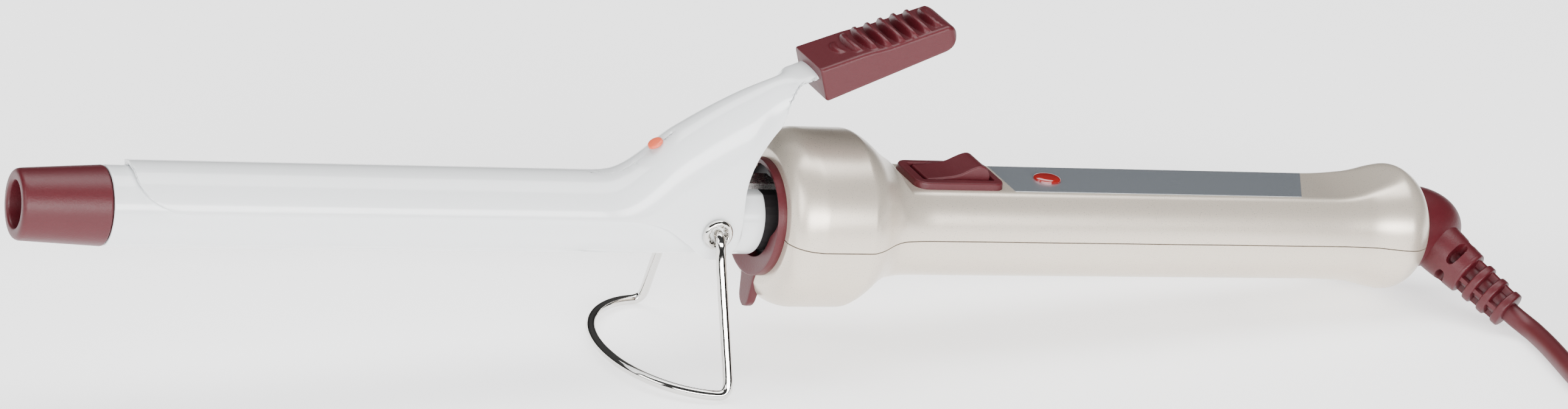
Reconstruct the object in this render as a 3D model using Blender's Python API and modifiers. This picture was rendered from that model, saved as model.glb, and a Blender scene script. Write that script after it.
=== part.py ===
"""Hair curling iron: heated barrel, sprung clamp, wire stand, two-part handle, swivel cord and plug.

Everything on the iron is placed in the iron's own frame: its origin is the clamp pivot on the barrel's
axis, +X runs towards the cord end and +Z is the lever side. The empty "iron_frame" leans that frame by
REST_TILT, so that the iron stands on its wire foot and on its strain relief, with the table at z = 0.
"""

import math

import bmesh
import bpy
from mathutils import Matrix, Vector

MM = 0.001
GAP = 0.3 * MM  # between pieces that touch on the real object
FACETS = 28

# Placing
REST_TILT = math.radians(5.0)
PIVOT_AT = Vector((-30.0, 0.0, 37.42)) * MM

# Barrel and cap
BARREL_R = 9.5 * MM
BARREL_WALL = 0.8 * MM
BARREL_START = -152.5 * MM
BARREL_END = 13.7 * MM
CAP_LENGTH = 21.0 * MM
CAP_FRONT_R = 8.3 * MM
CAP_BORE_R = 5.45 * MM
CAP_BORE_DEPTH = 14.0 * MM
CAP_SPIGOT = 6.0 * MM
BARREL_FLAT_Z = 7.9 * MM
BARREL_FLAT_FROM = -4.0 * MM

# Heater
HEATER_LENGTH = 90.0 * MM
HEATER_WIDTH = 11.0 * MM
HEATER_THICK = 1.8 * MM
SPREADER_LENGTH = 128.0 * MM
HEATER_CENTRE = BARREL_START + CAP_SPIGOT + GAP + SPREADER_LENGTH / 2

# Clamp, its lever and its pivot
SHEET = 0.8 * MM
CLAMP_GAP = 0.5 * MM
CLAMP_START = -147.4 * MM
CLAMP_EDGE_Z = 2.4 * MM
CLAMP_CORNER = 14.0 * MM
CHEEK_ROOM = 1.0 * MM  # between the barrel's side and a cheek
CHEEK_Y = BARREL_R + CHEEK_ROOM + SHEET / 2  # middle of the cheeks' sheet
EAR_R = 7.05 * MM
EYELET_FLANGE_R = 3.95 * MM
EYELET_SHANK_R = 2.5 * MM
LEVER_SLOPE = math.radians(23.0)
LEVER_TIP = 43.0 * MM
LEVER_EASE_FROM = -8.0 * MM
TONGUE_HALF = 5.0 * MM
GRIP_START_X = 22.4 * MM
GRIP_SINK = 2.435 * MM  # the middle of its front face, below the lever's top
GRIP_LENGTH = 37.6 * MM
GRIP_WIDTH = 16.0 * MM
GRIP_FRONT_THICK = 9.2 * MM
GRIP_REAR_THICK = 7.0 * MM
RIB_PITCH = 3.6 * MM
RIB_COUNT = 8
DOT_X = -15.8 * MM
DOT_R = 1.9 * MM

# Spring behind the pivot
SPRING_X = 10.2 * MM
SPRING_R = 2.4 * MM
SPRING_WIRE_R = 0.4 * MM
SPRING_TURNS = 6
SPRING_FOOT_Z = 10.5 * MM
BRACKET_Z = 8.6 * MM
BRACKET_THICK = 1.5 * MM

# Wire stand
WIRE_R = 1.25 * MM
STAND_LEG_Y = CHEEK_Y + SHEET / 2 + 1.35 * MM + WIRE_R
STAND_CORNER_X = 3.5 * MM
STAND_HALF_WIDTH = 28.0 * MM
STAND_DROP = 36.0 * MM
STAND_REACH = 23.0 * MM  # how far the foot bows towards the tip
STAND_PIN_END = 8.0 * MM

# Handle casing
RING_START = 14.5 * MM
RING_END = 18.3 * MM
RING_R = 14.8 * MM
RING_WALL = 1.5 * MM
RING_LOW_R = BARREL_R + 0.6 * MM  # its opening below the barrel's axis
TAB_WIDTH = 8.0 * MM
TAB_THICK = 3.0 * MM
TAB_REACH = 24.2 * MM
CASE_FACE = 16.9 * MM
CASE_FACE_R = 16.8 * MM
BULB_R = 22.4 * MM
BULB_FROM = 24.2 * MM
BULB_TO = 39.5 * MM
NECK_AT = 54.0 * MM
HANDLE_R = 14.2 * MM
FLARE_FROM = 183.0 * MM
FLARE_AT = 203.5 * MM
FLARE_R = 16.4 * MM
RIM_AT = 209.8 * MM
RIM_R = 12.2 * MM
CASE_WALL = 2.2 * MM
LEAD_DROP = HANDLE_R - CASE_WALL - 3.0 * MM  # how low the supply lead starts
FLAT_Z = 11.1 * MM
FLAT_FROM = 53.0 * MM
FLAT_TO = 184.0 * MM

# On the flat
PLATE_FROM = 83.0 * MM
PLATE_TO_NEAR = 169.5 * MM
PLATE_TO_FAR = 178.5 * MM
PLATE_HALF = 7.9 * MM
PLATE_SINK = 0.5 * MM
PLATE_THICK = 0.35 * MM
LAMP_X = 96.4 * MM
LAMP_HALF_LONG = 3.9 * MM
LAMP_HALF_WIDE = 3.1 * MM
SWITCH_X = 67.8 * MM
BEZEL_LONG = 25.6 * MM
BEZEL_WIDE = 15.4 * MM
BEZEL_THICK = 1.6 * MM
ROCKER_LONG = 17.8 * MM
ROCKER_WIDE = 9.4 * MM
ROCKER_ROOM = 1.2 * MM
ROCKER_AXIS_Z = 11.2 * MM
SKIRT_WALL = 0.6 * MM
SWITCH_FLOOR_Z = 5.9 * MM
SCREWS_AT = (47.0 * MM, 160.0 * MM)
SCREW_HEAD_R = 2.8 * MM
SCREW_R = 1.4 * MM
BOSS_R = 3.6 * MM

# Swivel and strain relief
DOME_R = 11.2 * MM
DOME_END = 227.3 * MM
SWIVEL_FLANGE_R = 12.8 * MM
SWIVEL_NECK_FROM = 206.8 * MM
SWIVEL_FLANGE_FROM = 203.6 * MM
RELIEF_FROM = 214.5 * MM  # where its axis crosses the handle's axis
RELIEF_LEAN = math.radians(62.0)  # from the handle's axis
RELIEF_TURN = math.radians(66.0)  # about the handle's axis, from straight down
RELIEF_END = 34.2 * MM
RELIEF_BODY_END = 19.6 * MM
RELIEF_BODY_R = 7.0 * MM
RELIEF_BODY_END_R = 6.2 * MM
RELIEF_PITCH = 4.9 * MM
RELIEF_RING = 2.6 * MM
RELIEF_RING_R = (5.7 * MM, 5.5 * MM, 5.3 * MM)
RELIEF_CORE_R = 3.5 * MM

# Cord: 1.8 m, of which the coil holds most
CORD_R = 2.75 * MM
COIL_AT = Vector((239.5, -73.0, 0.0)) * MM
COIL_MID_R = 31.9 * MM
COIL_BUNDLE = 16.5 * MM
COIL_LIFT = 0.9 * MM
TIE_THICK = 0.5 * MM
TIE_WIDTH = 6.0 * MM
PLUG_LENGTH = 35.3 * MM
PLUG_WIDTH = 26.0 * MM
PLUG_THICK = 13.7 * MM
PLUG_RELIEF = 15.0 * MM
PLUG_AT = Vector((265.5, -73.0, 24.6)) * MM  # where its relief meets the cord
PIN_LENGTH = 19.0 * MM
PIN_R = 2.0 * MM
PIN_HALF_SPREAD = 9.5 * MM

# Chosen by hand: from the strain relief down to the table and on to the coil
CORD_ROUTE = (
    (200.50, -31.75, 3.55),
    (201.10, -34.40, 3.10),
    (201.25, -37.60, 2.95),
    (200.95, -41.60, 2.90),
    (200.10, -47.00, 2.90),
    (198.90, -53.00, 2.90),
    (197.70, -59.00, 2.90),
    (196.90, -64.50, 2.90),
    (196.35, -70.00, 2.90),
)
TAIL_ROUTE = (
    (245.5, -117.6, 3.6),
    (253.0, -118.3, 3.6),
    (261.5, -117.5, 4.2),
    (270.0, -114.3, 6.0),
    (277.5, -108.5, 9.2),
    (283.0, -100.5, 13.4),
    (285.1, -91.5, 17.6),
    (282.9, -83.0, 21.2),
    (277.1, -76.6, 23.6),
    (271.0, -73.9, 24.5),
    (265.9, -73.0, 24.6),
)

IRON = {}


def clear_scene():
    for obj in list(bpy.data.objects):
        bpy.data.objects.remove(obj, do_unlink=True)


def new_collection(name):
    made = bpy.data.collections.new(name)
    bpy.context.scene.collection.children.link(made)
    return made


def material(name, rgb, roughness, metallic=0.0, transmission=0.0):
    made = bpy.data.materials.new(name)
    made.use_nodes = True
    shader = made.node_tree.nodes["Principled BSDF"]
    shader.inputs["Base Color"].default_value = (*rgb, 1.0)
    shader.inputs["Roughness"].default_value = roughness
    shader.inputs["Metallic"].default_value = metallic
    shader.inputs["Transmission Weight"].default_value = transmission
    return made


def empty(name, parent=None, location=(0, 0, 0), rotation=(0, 0, 0)):
    made = bpy.data.objects.new(name, None)
    made.location = location
    made.rotation_euler = rotation
    made.parent = parent
    IRON["parts"].objects.link(made)
    return made


def add(name, data, finish=None, parent=None):
    """A part, in the parts collection, or a cutter where it has no finish."""
    made = bpy.data.objects.new(name, data)
    made.parent = parent
    if finish is None:
        made.hide_render = True
        made.display_type = "WIRE"
        IRON["cutters"].objects.link(made)
        return made
    data.materials.append(finish)
    IRON["parts"].objects.link(made)
    return made


def cut(obj, other, operation="DIFFERENCE"):
    step = obj.modifiers.new(operation.title() + "_" + other.name, "BOOLEAN")
    step.object = other
    step.operation = operation
    step.solver = "EXACT"
    return obj


def smooth(obj, degrees=35):
    obj.data.shade_smooth()
    obj.data.set_sharp_from_angle(angle=math.radians(degrees))
    return obj


def bevelled(obj, width, segments=2):
    step = obj.modifiers.new("Rounded", "BEVEL")
    step.width = width
    step.segments = segments
    step.limit_method = "ANGLE"
    step.angle_limit = math.radians(40)
    return obj


def arc(centre, radius, start, end, count):
    """Points on a circle about centre, from start to end in degrees."""
    turns = [math.radians(start + (end - start) * k / count) for k in range(count + 1)]
    return [(centre[0] + radius * math.cos(t), centre[1] + radius * math.sin(t)) for t in turns]


def turned(name, profile, finish=None, parent=None, facets=FACETS):
    """A turned solid along +X. The profile holds (x, radius) points, closed where it leaves the axis."""
    on_axis = abs(profile[0][1]) < 1e-9 and abs(profile[-1][1]) < 1e-9
    points = [(r, x) for x, r in profile]
    area = sum(p[0] * q[1] - q[0] * p[1] for p, q in zip(points, points[1:] + points[:1], strict=True))
    if area > 0:
        points.reverse()
    mesh = bpy.data.meshes.new(name)
    count = len(points)
    edges = [(k, (k + 1) % count) for k in range(count - (1 if on_axis else 0))]
    mesh.from_pydata([(r, 0.0, z) for r, z in points], edges, [])
    made = add(name, mesh, finish, parent)
    made.rotation_euler = (0.0, math.pi / 2, 0.0)
    step = made.modifiers.new("Turned", "SCREW")
    step.steps = facets
    step.render_steps = facets
    step.use_merge_vertices = True
    step.merge_threshold = 1e-6
    step.use_smooth_shade = True
    return made


def box(name, size, centre, finish=None, parent=None, rounding=0.0):
    mesh = bpy.data.meshes.new(name)
    shape = bmesh.new()
    bmesh.ops.create_cube(shape, size=1.0)
    bmesh.ops.scale(shape, vec=size, verts=shape.verts)
    shape.to_mesh(mesh)
    shape.free()
    made = add(name, mesh, finish, parent)
    made.location = centre
    return bevelled(made, rounding) if rounding else made


def rod(name, radius, length, centre, along, finish=None, parent=None, end_radius=None, facets=24):
    """A cylinder or cone whose axis runs along a direction."""
    mesh = bpy.data.meshes.new(name)
    shape = bmesh.new()
    bmesh.ops.create_cone(
        shape,
        cap_ends=True,
        segments=facets,
        radius1=radius,
        radius2=radius if end_radius is None else end_radius,
        depth=length,
    )
    shape.to_mesh(mesh)
    shape.free()
    made = add(name, mesh, finish, parent)
    made.location = centre
    made.rotation_euler = Vector(along).to_track_quat("Z", "Y").to_euler()
    return made


def prism(name, outline, thickness, finish=None, parent=None):
    """A flat outline in local XY, half its thickness to each side, as a mesh that can be cut."""
    curve = bpy.data.curves.new(name + "_outline", "CURVE")
    curve.dimensions = "2D"
    curve.fill_mode = "BOTH"
    curve.extrude = thickness / 2
    spline = curve.splines.new("POLY")
    spline.points.add(len(outline) - 1)
    for point, (x, y) in zip(spline.points, outline, strict=True):
        point.co = (x, y, 0.0, 1.0)
    spline.use_cyclic_u = True
    return as_mesh(name, curve, finish, parent)


def tube(name, points, radius, finish=None, parent=None, sides=2):
    curve = bpy.data.curves.new(name + "_line", "CURVE")
    curve.dimensions = "3D"
    curve.bevel_depth = radius
    curve.bevel_resolution = sides
    curve.use_fill_caps = True
    spline = curve.splines.new("POLY")
    spline.points.add(len(points) - 1)
    for point, place in zip(spline.points, points, strict=True):
        point.co = (*place, 1.0)
    return as_mesh(name, curve, finish, parent)


def as_mesh(name, curve, finish, parent):
    """The curve's solid as a mesh with its caps welded on."""
    guide = bpy.data.objects.new(name + "_guide", curve)
    bpy.context.scene.collection.objects.link(guide)
    graph = bpy.context.evaluated_depsgraph_get()
    mesh = bpy.data.meshes.new_from_object(guide.evaluated_get(graph))
    mesh.name = name
    bpy.data.objects.remove(guide, do_unlink=True)
    shape = bmesh.new()
    shape.from_mesh(mesh)
    bmesh.ops.remove_doubles(shape, verts=shape.verts, dist=1e-6)
    bmesh.ops.recalc_face_normals(shape, faces=shape.faces)
    shape.to_mesh(mesh)
    shape.free()
    return add(name, mesh, finish, parent)


def smooth_line(points, step):
    """Points a step apart on the Catmull-Rom curve through the given ones."""
    places = [Vector(p) for p in points]
    ends = [2 * places[0] - places[1]] + places + [2 * places[-1] - places[-2]]
    fine = []
    for a, b, c, d in zip(ends, ends[1:], ends[2:], ends[3:], strict=False):
        for k in range(12):
            t = k / 12
            fine.append(
                0.5
                * (
                    2 * b
                    + (c - a) * t
                    + (2 * a - 5 * b + 4 * c - d) * t**2
                    + (3 * b - a - 3 * c + d) * t**3
                )
            )
    fine.append(places[-1])
    length = sum((q - p).length for p, q in zip(fine, fine[1:], strict=False))
    count = max(2, round(length / step))
    kept, run, due = [fine[0]], 0.0, length / count
    for p, q in zip(fine, fine[1:], strict=False):
        run += (q - p).length
        while run >= due - 1e-9 and len(kept) < count:
            kept.append(q)
            due += length / count
    return kept + [fine[-1]]


def relief_direction():
    """The strain relief's axis in the iron's frame."""
    side = math.sin(RELIEF_LEAN)
    return Vector(
        (math.cos(RELIEF_LEAN), -side * math.sin(RELIEF_TURN), -side * math.cos(RELIEF_TURN))
    )


def finishes():
    return {
        "burgundy": material("burgundy_plastic", (0.16, 0.018, 0.025), 0.5),
        "white": material("white_ceramic", (0.86, 0.87, 0.88), 0.16),
        "champagne": material("champagne_metallic", (0.62, 0.59, 0.52), 0.3, 0.4),
        "chrome": material("bright_steel", (0.75, 0.75, 0.76), 0.12, 1.0),
        "steel": material("plain_steel", (0.45, 0.45, 0.46), 0.35, 1.0),
        "plate": material("satin_plate", (0.55, 0.60, 0.66), 0.3, 0.9),
        "lens": material("red_lens", (0.45, 0.02, 0.02), 0.12, 0.0, 0.4),
        "dot": material("orange_enamel", (0.80, 0.19, 0.09), 0.35),
        "aluminium": material("spreader_aluminium", (0.70, 0.70, 0.71), 0.4, 1.0),
        "alumina": material("heater_ceramic", (0.82, 0.80, 0.74), 0.6),
        "black": material("black_plastic", (0.02, 0.02, 0.022), 0.45),
        "brass": material("contact_brass", (0.65, 0.45, 0.17), 0.3, 1.0),
        "glass": material("lamp_glass", (0.9, 0.55, 0.35), 0.08, 0.0, 0.8),
        "sleeve": material("lead_sleeve", (0.80, 0.78, 0.72), 0.6),
        "tie": material("tie_plastic", (0.03, 0.03, 0.035), 0.5),
    }


# Barrel


def tip_cap(finish, frame):
    front = BARREL_START - CAP_LENGTH
    inner_r = BARREL_R - BARREL_WALL - GAP
    soft = 1.3 * MM
    corner = arc((front + soft, CAP_FRONT_R - soft), soft, 180, 90, 4)
    profile = [
        (front + CAP_BORE_DEPTH, 0.0),
        (front + CAP_BORE_DEPTH, CAP_BORE_R),
        (front + 0.5 * MM, CAP_BORE_R),
        (front, CAP_BORE_R + 0.5 * MM),
        *corner,
        (BARREL_START - GAP - 0.4 * MM, BARREL_R - 0.15 * MM),
        (BARREL_START - GAP, BARREL_R - 0.5 * MM),
        (BARREL_START - GAP, inner_r),
        (BARREL_START + CAP_SPIGOT, inner_r),
        (BARREL_START + CAP_SPIGOT, 0.0),
    ]
    return smooth(turned("tip_cap", profile, finish, frame))


def barrel_tube(finish, frame):
    inner_r = BARREL_R - BARREL_WALL
    soft = 0.35 * MM
    profile = [
        (BARREL_START, inner_r),
        (BARREL_START, BARREL_R - soft),
        (BARREL_START + soft, BARREL_R),
        (BARREL_END - soft, BARREL_R),
        (BARREL_END, BARREL_R - soft),
        (BARREL_END, inner_r),
    ]
    made = turned("barrel_tube", profile, finish, frame, facets=36)
    flat_length = BARREL_END - BARREL_FLAT_FROM + 2 * MM
    flat = box(
        "barrel_flat_cutter",
        (flat_length, 4 * BARREL_R, 6 * MM),
        (BARREL_FLAT_FROM + flat_length / 2, 0.0, BARREL_FLAT_Z + 3 * MM),
        parent=frame,
    )
    pins = rod(
        "barrel_pin_cutter", EYELET_SHANK_R + GAP, 4 * BARREL_R, (0, 0, 0), (0, 1, 0), parent=frame
    )
    return smooth(cut(cut(made, flat), pins))


def spreader(name, side, finish, frame):
    """A half-round bar that fills the barrel above or below the heater."""
    radius = BARREL_R - BARREL_WALL - GAP
    inner = HEATER_THICK / 2 + GAP
    start = math.degrees(math.asin(inner / radius))
    outline = arc((0.0, 0.0), radius, start, 180 - start, 18)
    made = prism(name, outline, SPREADER_LENGTH, finish, frame)
    # local X runs across the barrel and local Y points away from the heater
    made.rotation_euler = Matrix(((0, 0, 1), (side, 0, 0), (0, side, 0))).to_euler()
    made.location = (HEATER_CENTRE, 0.0, 0.0)
    return smooth(made)


def heater(finish, frame):
    return box(
        "heater_plate",
        (HEATER_LENGTH, HEATER_WIDTH, HEATER_THICK),
        (HEATER_CENTRE, 0.0, 0.0),
        finish,
        frame,
        0.3 * MM,
    )


def thermal_fuse(finish, frame):
    end = HEATER_CENTRE + SPREADER_LENGTH / 2
    body = rod("thermal_fuse", 1.9 * MM, 11 * MM, (end + 9 * MM, 0, -4 * MM), (1, 0, 0), finish, frame)
    return smooth(bevelled(body, 0.5 * MM))


def barrel_holder(finish, frame):
    """The insulating bush that carries the barrel in the casing."""
    spigot_r = BARREL_R - BARREL_WALL - GAP
    flange_r = RING_R
    flange_from = RING_END + GAP
    profile = [
        (BARREL_END - 9 * MM, 5.4 * MM),
        (BARREL_END - 9 * MM, spigot_r),
        (flange_from, spigot_r),
        (flange_from, flange_r),
        (flange_from + 3 * MM, flange_r),
        (flange_from + 3 * MM, 5.4 * MM),
    ]
    made = turned("barrel_holder", profile, finish, frame)
    top = box(
        "holder_flat_cutter",
        (flange_from - BARREL_END + 20 * MM, 4 * BARREL_R, 6 * MM),
        ((flange_from + BARREL_END - 20 * MM) / 2 - 0.05 * MM, 0.0, BARREL_FLAT_Z - 0.5 * MM + 3 * MM),
        parent=frame,
    )
    return smooth(cut(made, top))


def spring_bracket(finish, frame):
    """A strip on the barrel's flat, with a boss for the spring."""
    start, end = 3.0 * MM, RING_END - 0.4 * MM
    made = box(
        "spring_bracket",
        (end - start, 6.6 * MM, BRACKET_THICK),
        ((start + end) / 2, 0.0, BRACKET_Z + BRACKET_THICK / 2),
        finish,
        frame,
    )
    boss = rod(
        "bracket_boss_cutter",
        SPRING_R - SPRING_WIRE_R - GAP,
        4.0 * MM,
        (SPRING_X, 0.0, BRACKET_Z + BRACKET_THICK + 1.0 * MM),
        (0, 0, 1),
        parent=frame,
    )
    return cut(made, boss, "UNION")


def clamp_spring(finish, frame):
    top = lever_underside(SPRING_X) - 0.6 * MM
    height = top - SPRING_FOOT_Z - 2 * SPRING_WIRE_R
    points = []
    for k in range(SPRING_TURNS * 9 + 1):
        turn = 2 * math.pi * k / 9
        points.append(
            (
                SPRING_X + SPRING_R * math.cos(turn),
                SPRING_R * math.sin(turn),
                SPRING_FOOT_Z + SPRING_WIRE_R + height * k / (SPRING_TURNS * 9),
            )
        )
    return smooth(tube("clamp_spring", points, SPRING_WIRE_R, finish, frame, sides=1), 80)


# Clamp


def lever_top(x):
    """Height of the clamp's ridge above the pivot axis."""
    flat = BARREL_R + CLAMP_GAP + SHEET
    knee, rise = -32.0 * MM, 0.72
    if x < knee:
        return flat
    bend = 10.0 * MM
    along = min(x, LEVER_EASE_FROM) - knee
    height = flat + (rise * along**2 / (2 * bend) if along < bend else rise * (along - bend / 2))
    ease_length = 22.0 * MM
    ease = min(max(0.0, x - LEVER_EASE_FROM), ease_length)
    slope = math.tan(LEVER_SLOPE)
    height += rise * ease + (slope - rise) * ease**2 / (2 * ease_length)
    return height + slope * max(0.0, x - LEVER_EASE_FROM - ease_length)


def lever_underside(x):
    return lever_top(x) - SHEET


def clamp_section(x, count):
    """Half a cross-section of the sheet's middle surface, from the ridge down: a Bezier arch."""
    radius = BARREL_R + CLAMP_GAP + SHEET / 2
    low = math.radians(84)
    tangent = 4 / 3 * math.tan(low / 4) * radius
    barrel = (
        (0.0, radius),
        (tangent, radius),
        (
            radius * math.sin(low) - tangent * math.cos(low),
            radius * math.cos(low) + tangent * math.sin(low),
        ),
        (radius * math.sin(low), radius * math.cos(low)),
    )
    top = lever_top(x) - SHEET / 2
    cheek = ((0.0, top), (6.5 * MM, top), (CHEEK_Y, top * 0.62), (CHEEK_Y, -8.5 * MM))
    tongue = (
        (0.0, top),
        (TONGUE_HALF * 0.4, top),
        (TONGUE_HALF * 0.8, top - 0.3 * MM),
        (TONGUE_HALF, top - 0.8 * MM),
    )
    into_cheek = min(1.0, max(0.0, (x + 32 * MM) / (22 * MM)))
    into_cheek = into_cheek**2 * (3 - 2 * into_cheek)
    into_tongue = min(1.0, max(0.0, (x - 5 * MM) / (13 * MM)))
    into_tongue = into_tongue**2 * (3 - 2 * into_tongue)
    controls = []
    for a, b, c in zip(barrel, cheek, tongue, strict=True):
        y = a[0] + (b[0] - a[0]) * into_cheek
        z = a[1] + (b[1] - a[1]) * into_cheek
        controls.append((y + (c[0] - y) * into_tongue, z + (c[1] - z) * into_tongue))
    points = []
    for k in range(count + 1):
        t = k / count
        weights = ((1 - t) ** 3, 3 * t * (1 - t) ** 2, 3 * t * t * (1 - t), t**3)
        points.append([sum(w * p[i] for w, p in zip(weights, controls, strict=True)) for i in (0, 1)])
    return points


def clamp_side_outline():
    """What the press tool leaves of the sheet, seen from the side: (x, z) points."""
    corner = arc(
        (CLAMP_START + CLAMP_CORNER, CLAMP_EDGE_Z + CLAMP_CORNER * 0.62), CLAMP_CORNER, 180, 270, 8
    )
    corner = [(x, CLAMP_EDGE_Z + (z - corner[-1][1]) * 0.62) for x, z in corner]
    ear = arc((0.0, 0.0), EAR_R, 215, 345, 14)
    rear = [
        (6.3 * MM, 6.0 * MM),
        (6.0 * MM, 12.0 * MM),
        (7.6 * MM, 17.6 * MM),
        (10.4 * MM, 22.2 * MM),
        (15.0 * MM, 26.5 * MM),
        (22.8 * MM, 33.0 * MM),
        (LEVER_TIP + 4 * MM, 42.0 * MM),
    ]
    front = [
        (-29.0 * MM, CLAMP_EDGE_Z),
        (-19.0 * MM, CLAMP_EDGE_Z - 0.3 * MM),
        (-13.0 * MM, 0.7 * MM),
        (-9.0 * MM, -2.0 * MM),
    ]
    top = [(LEVER_TIP + 4 * MM, 70 * MM), (CLAMP_START, 40 * MM)]
    return [*corner, *front, *ear, *rear, *top]


def clamp_shell(finish, frame):
    """Loft of the sheet's middle surface along the barrel, thickened, then trimmed to its side outline."""
    count = 7
    stations = [CLAMP_START + k * 4 * MM for k in range(4)]
    stations += [CLAMP_START + (16 + 24.8 * k) * MM for k in range(4)]
    stations += [(-33 + 4 * k) * MM for k in range(9)]
    stations += [(2.0 + 2 * k) * MM for k in range(9)]
    stations += [24 * MM, LEVER_TIP]
    verts, faces = [], []
    for x in stations:
        half = clamp_section(x, count)
        verts += [(x, -y, z) for y, z in half[:0:-1]] + [(x, y, z) for y, z in half]
    wide = 2 * count + 1
    for i in range(len(stations) - 1):
        for j in range(wide - 1):
            a = i * wide + j
            faces.append((a, a + wide, a + wide + 1, a + 1))
    mesh = bpy.data.meshes.new("clamp_shell")
    mesh.from_pydata(verts, [], faces)
    made = add("clamp_shell", mesh, finish, frame)
    step = made.modifiers.new("Sheet", "SOLIDIFY")
    step.thickness = SHEET
    step.offset = 0.0
    step.use_even_offset = False
    keep = prism("clamp_outline_cutter", clamp_side_outline(), 60 * MM, parent=frame)
    keep.rotation_euler = (math.pi / 2, 0.0, 0.0)
    hole = rod(
        "clamp_pivot_cutter", EYELET_SHANK_R + GAP, 60 * MM, (0, 0, 0), (0, 1, 0), parent=frame
    )
    return smooth(cut(cut(made, keep, "INTERSECT"), hole))


def grip_outline():
    """Side view of the thumb grip along its own slope, with rounded ends."""
    front, rear = GRIP_FRONT_THICK / 2, GRIP_REAR_THICK / 2
    soft = 1.6 * MM
    return [
        *arc((soft, -front + soft), soft, 270, 180, 3),
        *arc((soft, front - soft), soft, 180, 90, 3),
        *arc((GRIP_LENGTH - rear, 0.0), rear, 80, -80, 8),
    ]


def thumb_grip(finish, frame):
    """A ribbed bar over the lever's tongue, pocketed from the front."""
    made = prism("thumb_grip", grip_outline(), GRIP_WIDTH, finish, frame)
    tilt = LEVER_SLOPE
    front = Vector((GRIP_START_X, 0.0, lever_top(GRIP_START_X) - GRIP_SINK))
    made.rotation_euler = (math.pi / 2, -tilt, 0.0)
    made.location = front
    bevelled(made, 1.4 * MM)
    lean = Matrix.Rotation(-tilt, 4, "Y")
    ribs = []
    for k in range(RIB_COUNT):
        along = GRIP_LENGTH - 5.5 * MM - k * RIB_PITCH
        high = GRIP_FRONT_THICK / 2 + (GRIP_REAR_THICK - GRIP_FRONT_THICK) / 2 * along / GRIP_LENGTH
        wide = GRIP_WIDTH - 2.2 * MM if k < RIB_COUNT - 2 else GRIP_WIDTH * 0.5
        rib = rod(
            f"grip_rib_cutter_{k}",
            1.05 * MM,
            wide,
            front + lean @ Vector((along, 0.0, high - 0.35 * MM)),
            (0, 1, 0),
            parent=frame,
            facets=12,
        )
        ribs.append(rib)
        cut(made, rib, "UNION")
    tongue_end = LEVER_TIP + 0.6 * MM
    start_x = GRIP_START_X - 3 * MM
    start = Vector((start_x, 0.0, lever_top(start_x) - 0.8 * MM))
    length = (tongue_end - start.x) / math.cos(tilt)
    pocket = box(
        "grip_pocket_cutter",
        (length, 2 * TONGUE_HALF + 2 * GAP + 0.8 * MM, 2.9 * MM),
        start + lean @ Vector((length / 2, 0.0, 0.0)),
        parent=frame,
    )
    pocket.rotation_euler = (0.0, -tilt, 0.0)
    return smooth(cut(made, pocket))


def ready_dot(finish, frame):
    """A heat-sensitive spot on the lever's ridge."""
    up = Vector((-0.72, 0.0, 1.0)).normalized()
    foot = Vector((DOT_X, 0.0, lever_top(DOT_X)))
    made = rod(
        "ready_dot", DOT_R, 0.7 * MM, foot + up * (0.35 * MM + GAP + 0.15 * MM), up, finish, frame
    )
    return smooth(bevelled(made, 0.2 * MM))


def eyelet(name, side, finish, frame):
    """A hollow rivet through the ear into the barrel, with a bore for the stand's wire."""
    cheek_out = CHEEK_Y + SHEET / 2
    inside = STAND_PIN_END
    bore = WIRE_R + GAP
    profile = [
        (inside, bore),
        (inside, EYELET_SHANK_R),
        (cheek_out + GAP, EYELET_SHANK_R),
        (cheek_out + GAP, EYELET_FLANGE_R),
        (cheek_out + GAP + 0.4 * MM, EYELET_FLANGE_R),
        (cheek_out + GAP + 1.0 * MM, EYELET_FLANGE_R - 0.7 * MM),
        (cheek_out + GAP + 1.0 * MM, bore + 0.4 * MM),
        (cheek_out + GAP + 0.6 * MM, bore),
    ]
    made = turned(name, profile, finish, frame, facets=18)
    made.rotation_euler = Vector((0, side, 0)).to_track_quat("Z", "Y").to_euler()
    return smooth(made)


# Stand


def stand_points():
    """The wire's centre line: pin, leg, bowed foot, leg, pin."""
    half = []
    half.append((0.0, STAND_PIN_END + 0.5 * MM, 0.0))
    half.append((0.0, STAND_LEG_Y - 1.2 * MM, 0.0))
    half.append((0.03 * MM, STAND_LEG_Y - 0.35 * MM, -0.35 * MM))
    half.append((0.1 * MM, STAND_LEG_Y, -1.2 * MM))
    for k in range(1, 5):
        t = k / 5
        half.append(
            (
                STAND_CORNER_X * t,
                STAND_LEG_Y + (STAND_HALF_WIDTH - STAND_LEG_Y) * t,
                -1.2 * MM - (STAND_DROP - 4.2 * MM) * t,
            )
        )
    half.append((STAND_CORNER_X, STAND_HALF_WIDTH - 0.4 * MM, -STAND_DROP + 1.6 * MM))
    half.append((STAND_CORNER_X - 0.4 * MM, STAND_HALF_WIDTH, -STAND_DROP + 0.4 * MM))
    for k in range(11):
        t = math.radians(4 + 86 * k / 10)
        half.append(
            (
                STAND_CORNER_X - STAND_REACH * math.sin(t),
                STAND_HALF_WIDTH * math.cos(t),
                -STAND_DROP,
            )
        )
    far = half
    near = [(x, -y, z) for x, y, z in reversed(half[:-1])]
    return far + near


def stand_wire(finish, frame):
    return smooth(tube("stand_wire", stand_points(), WIRE_R, finish, frame, sides=2), 80)


# Handle


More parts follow.
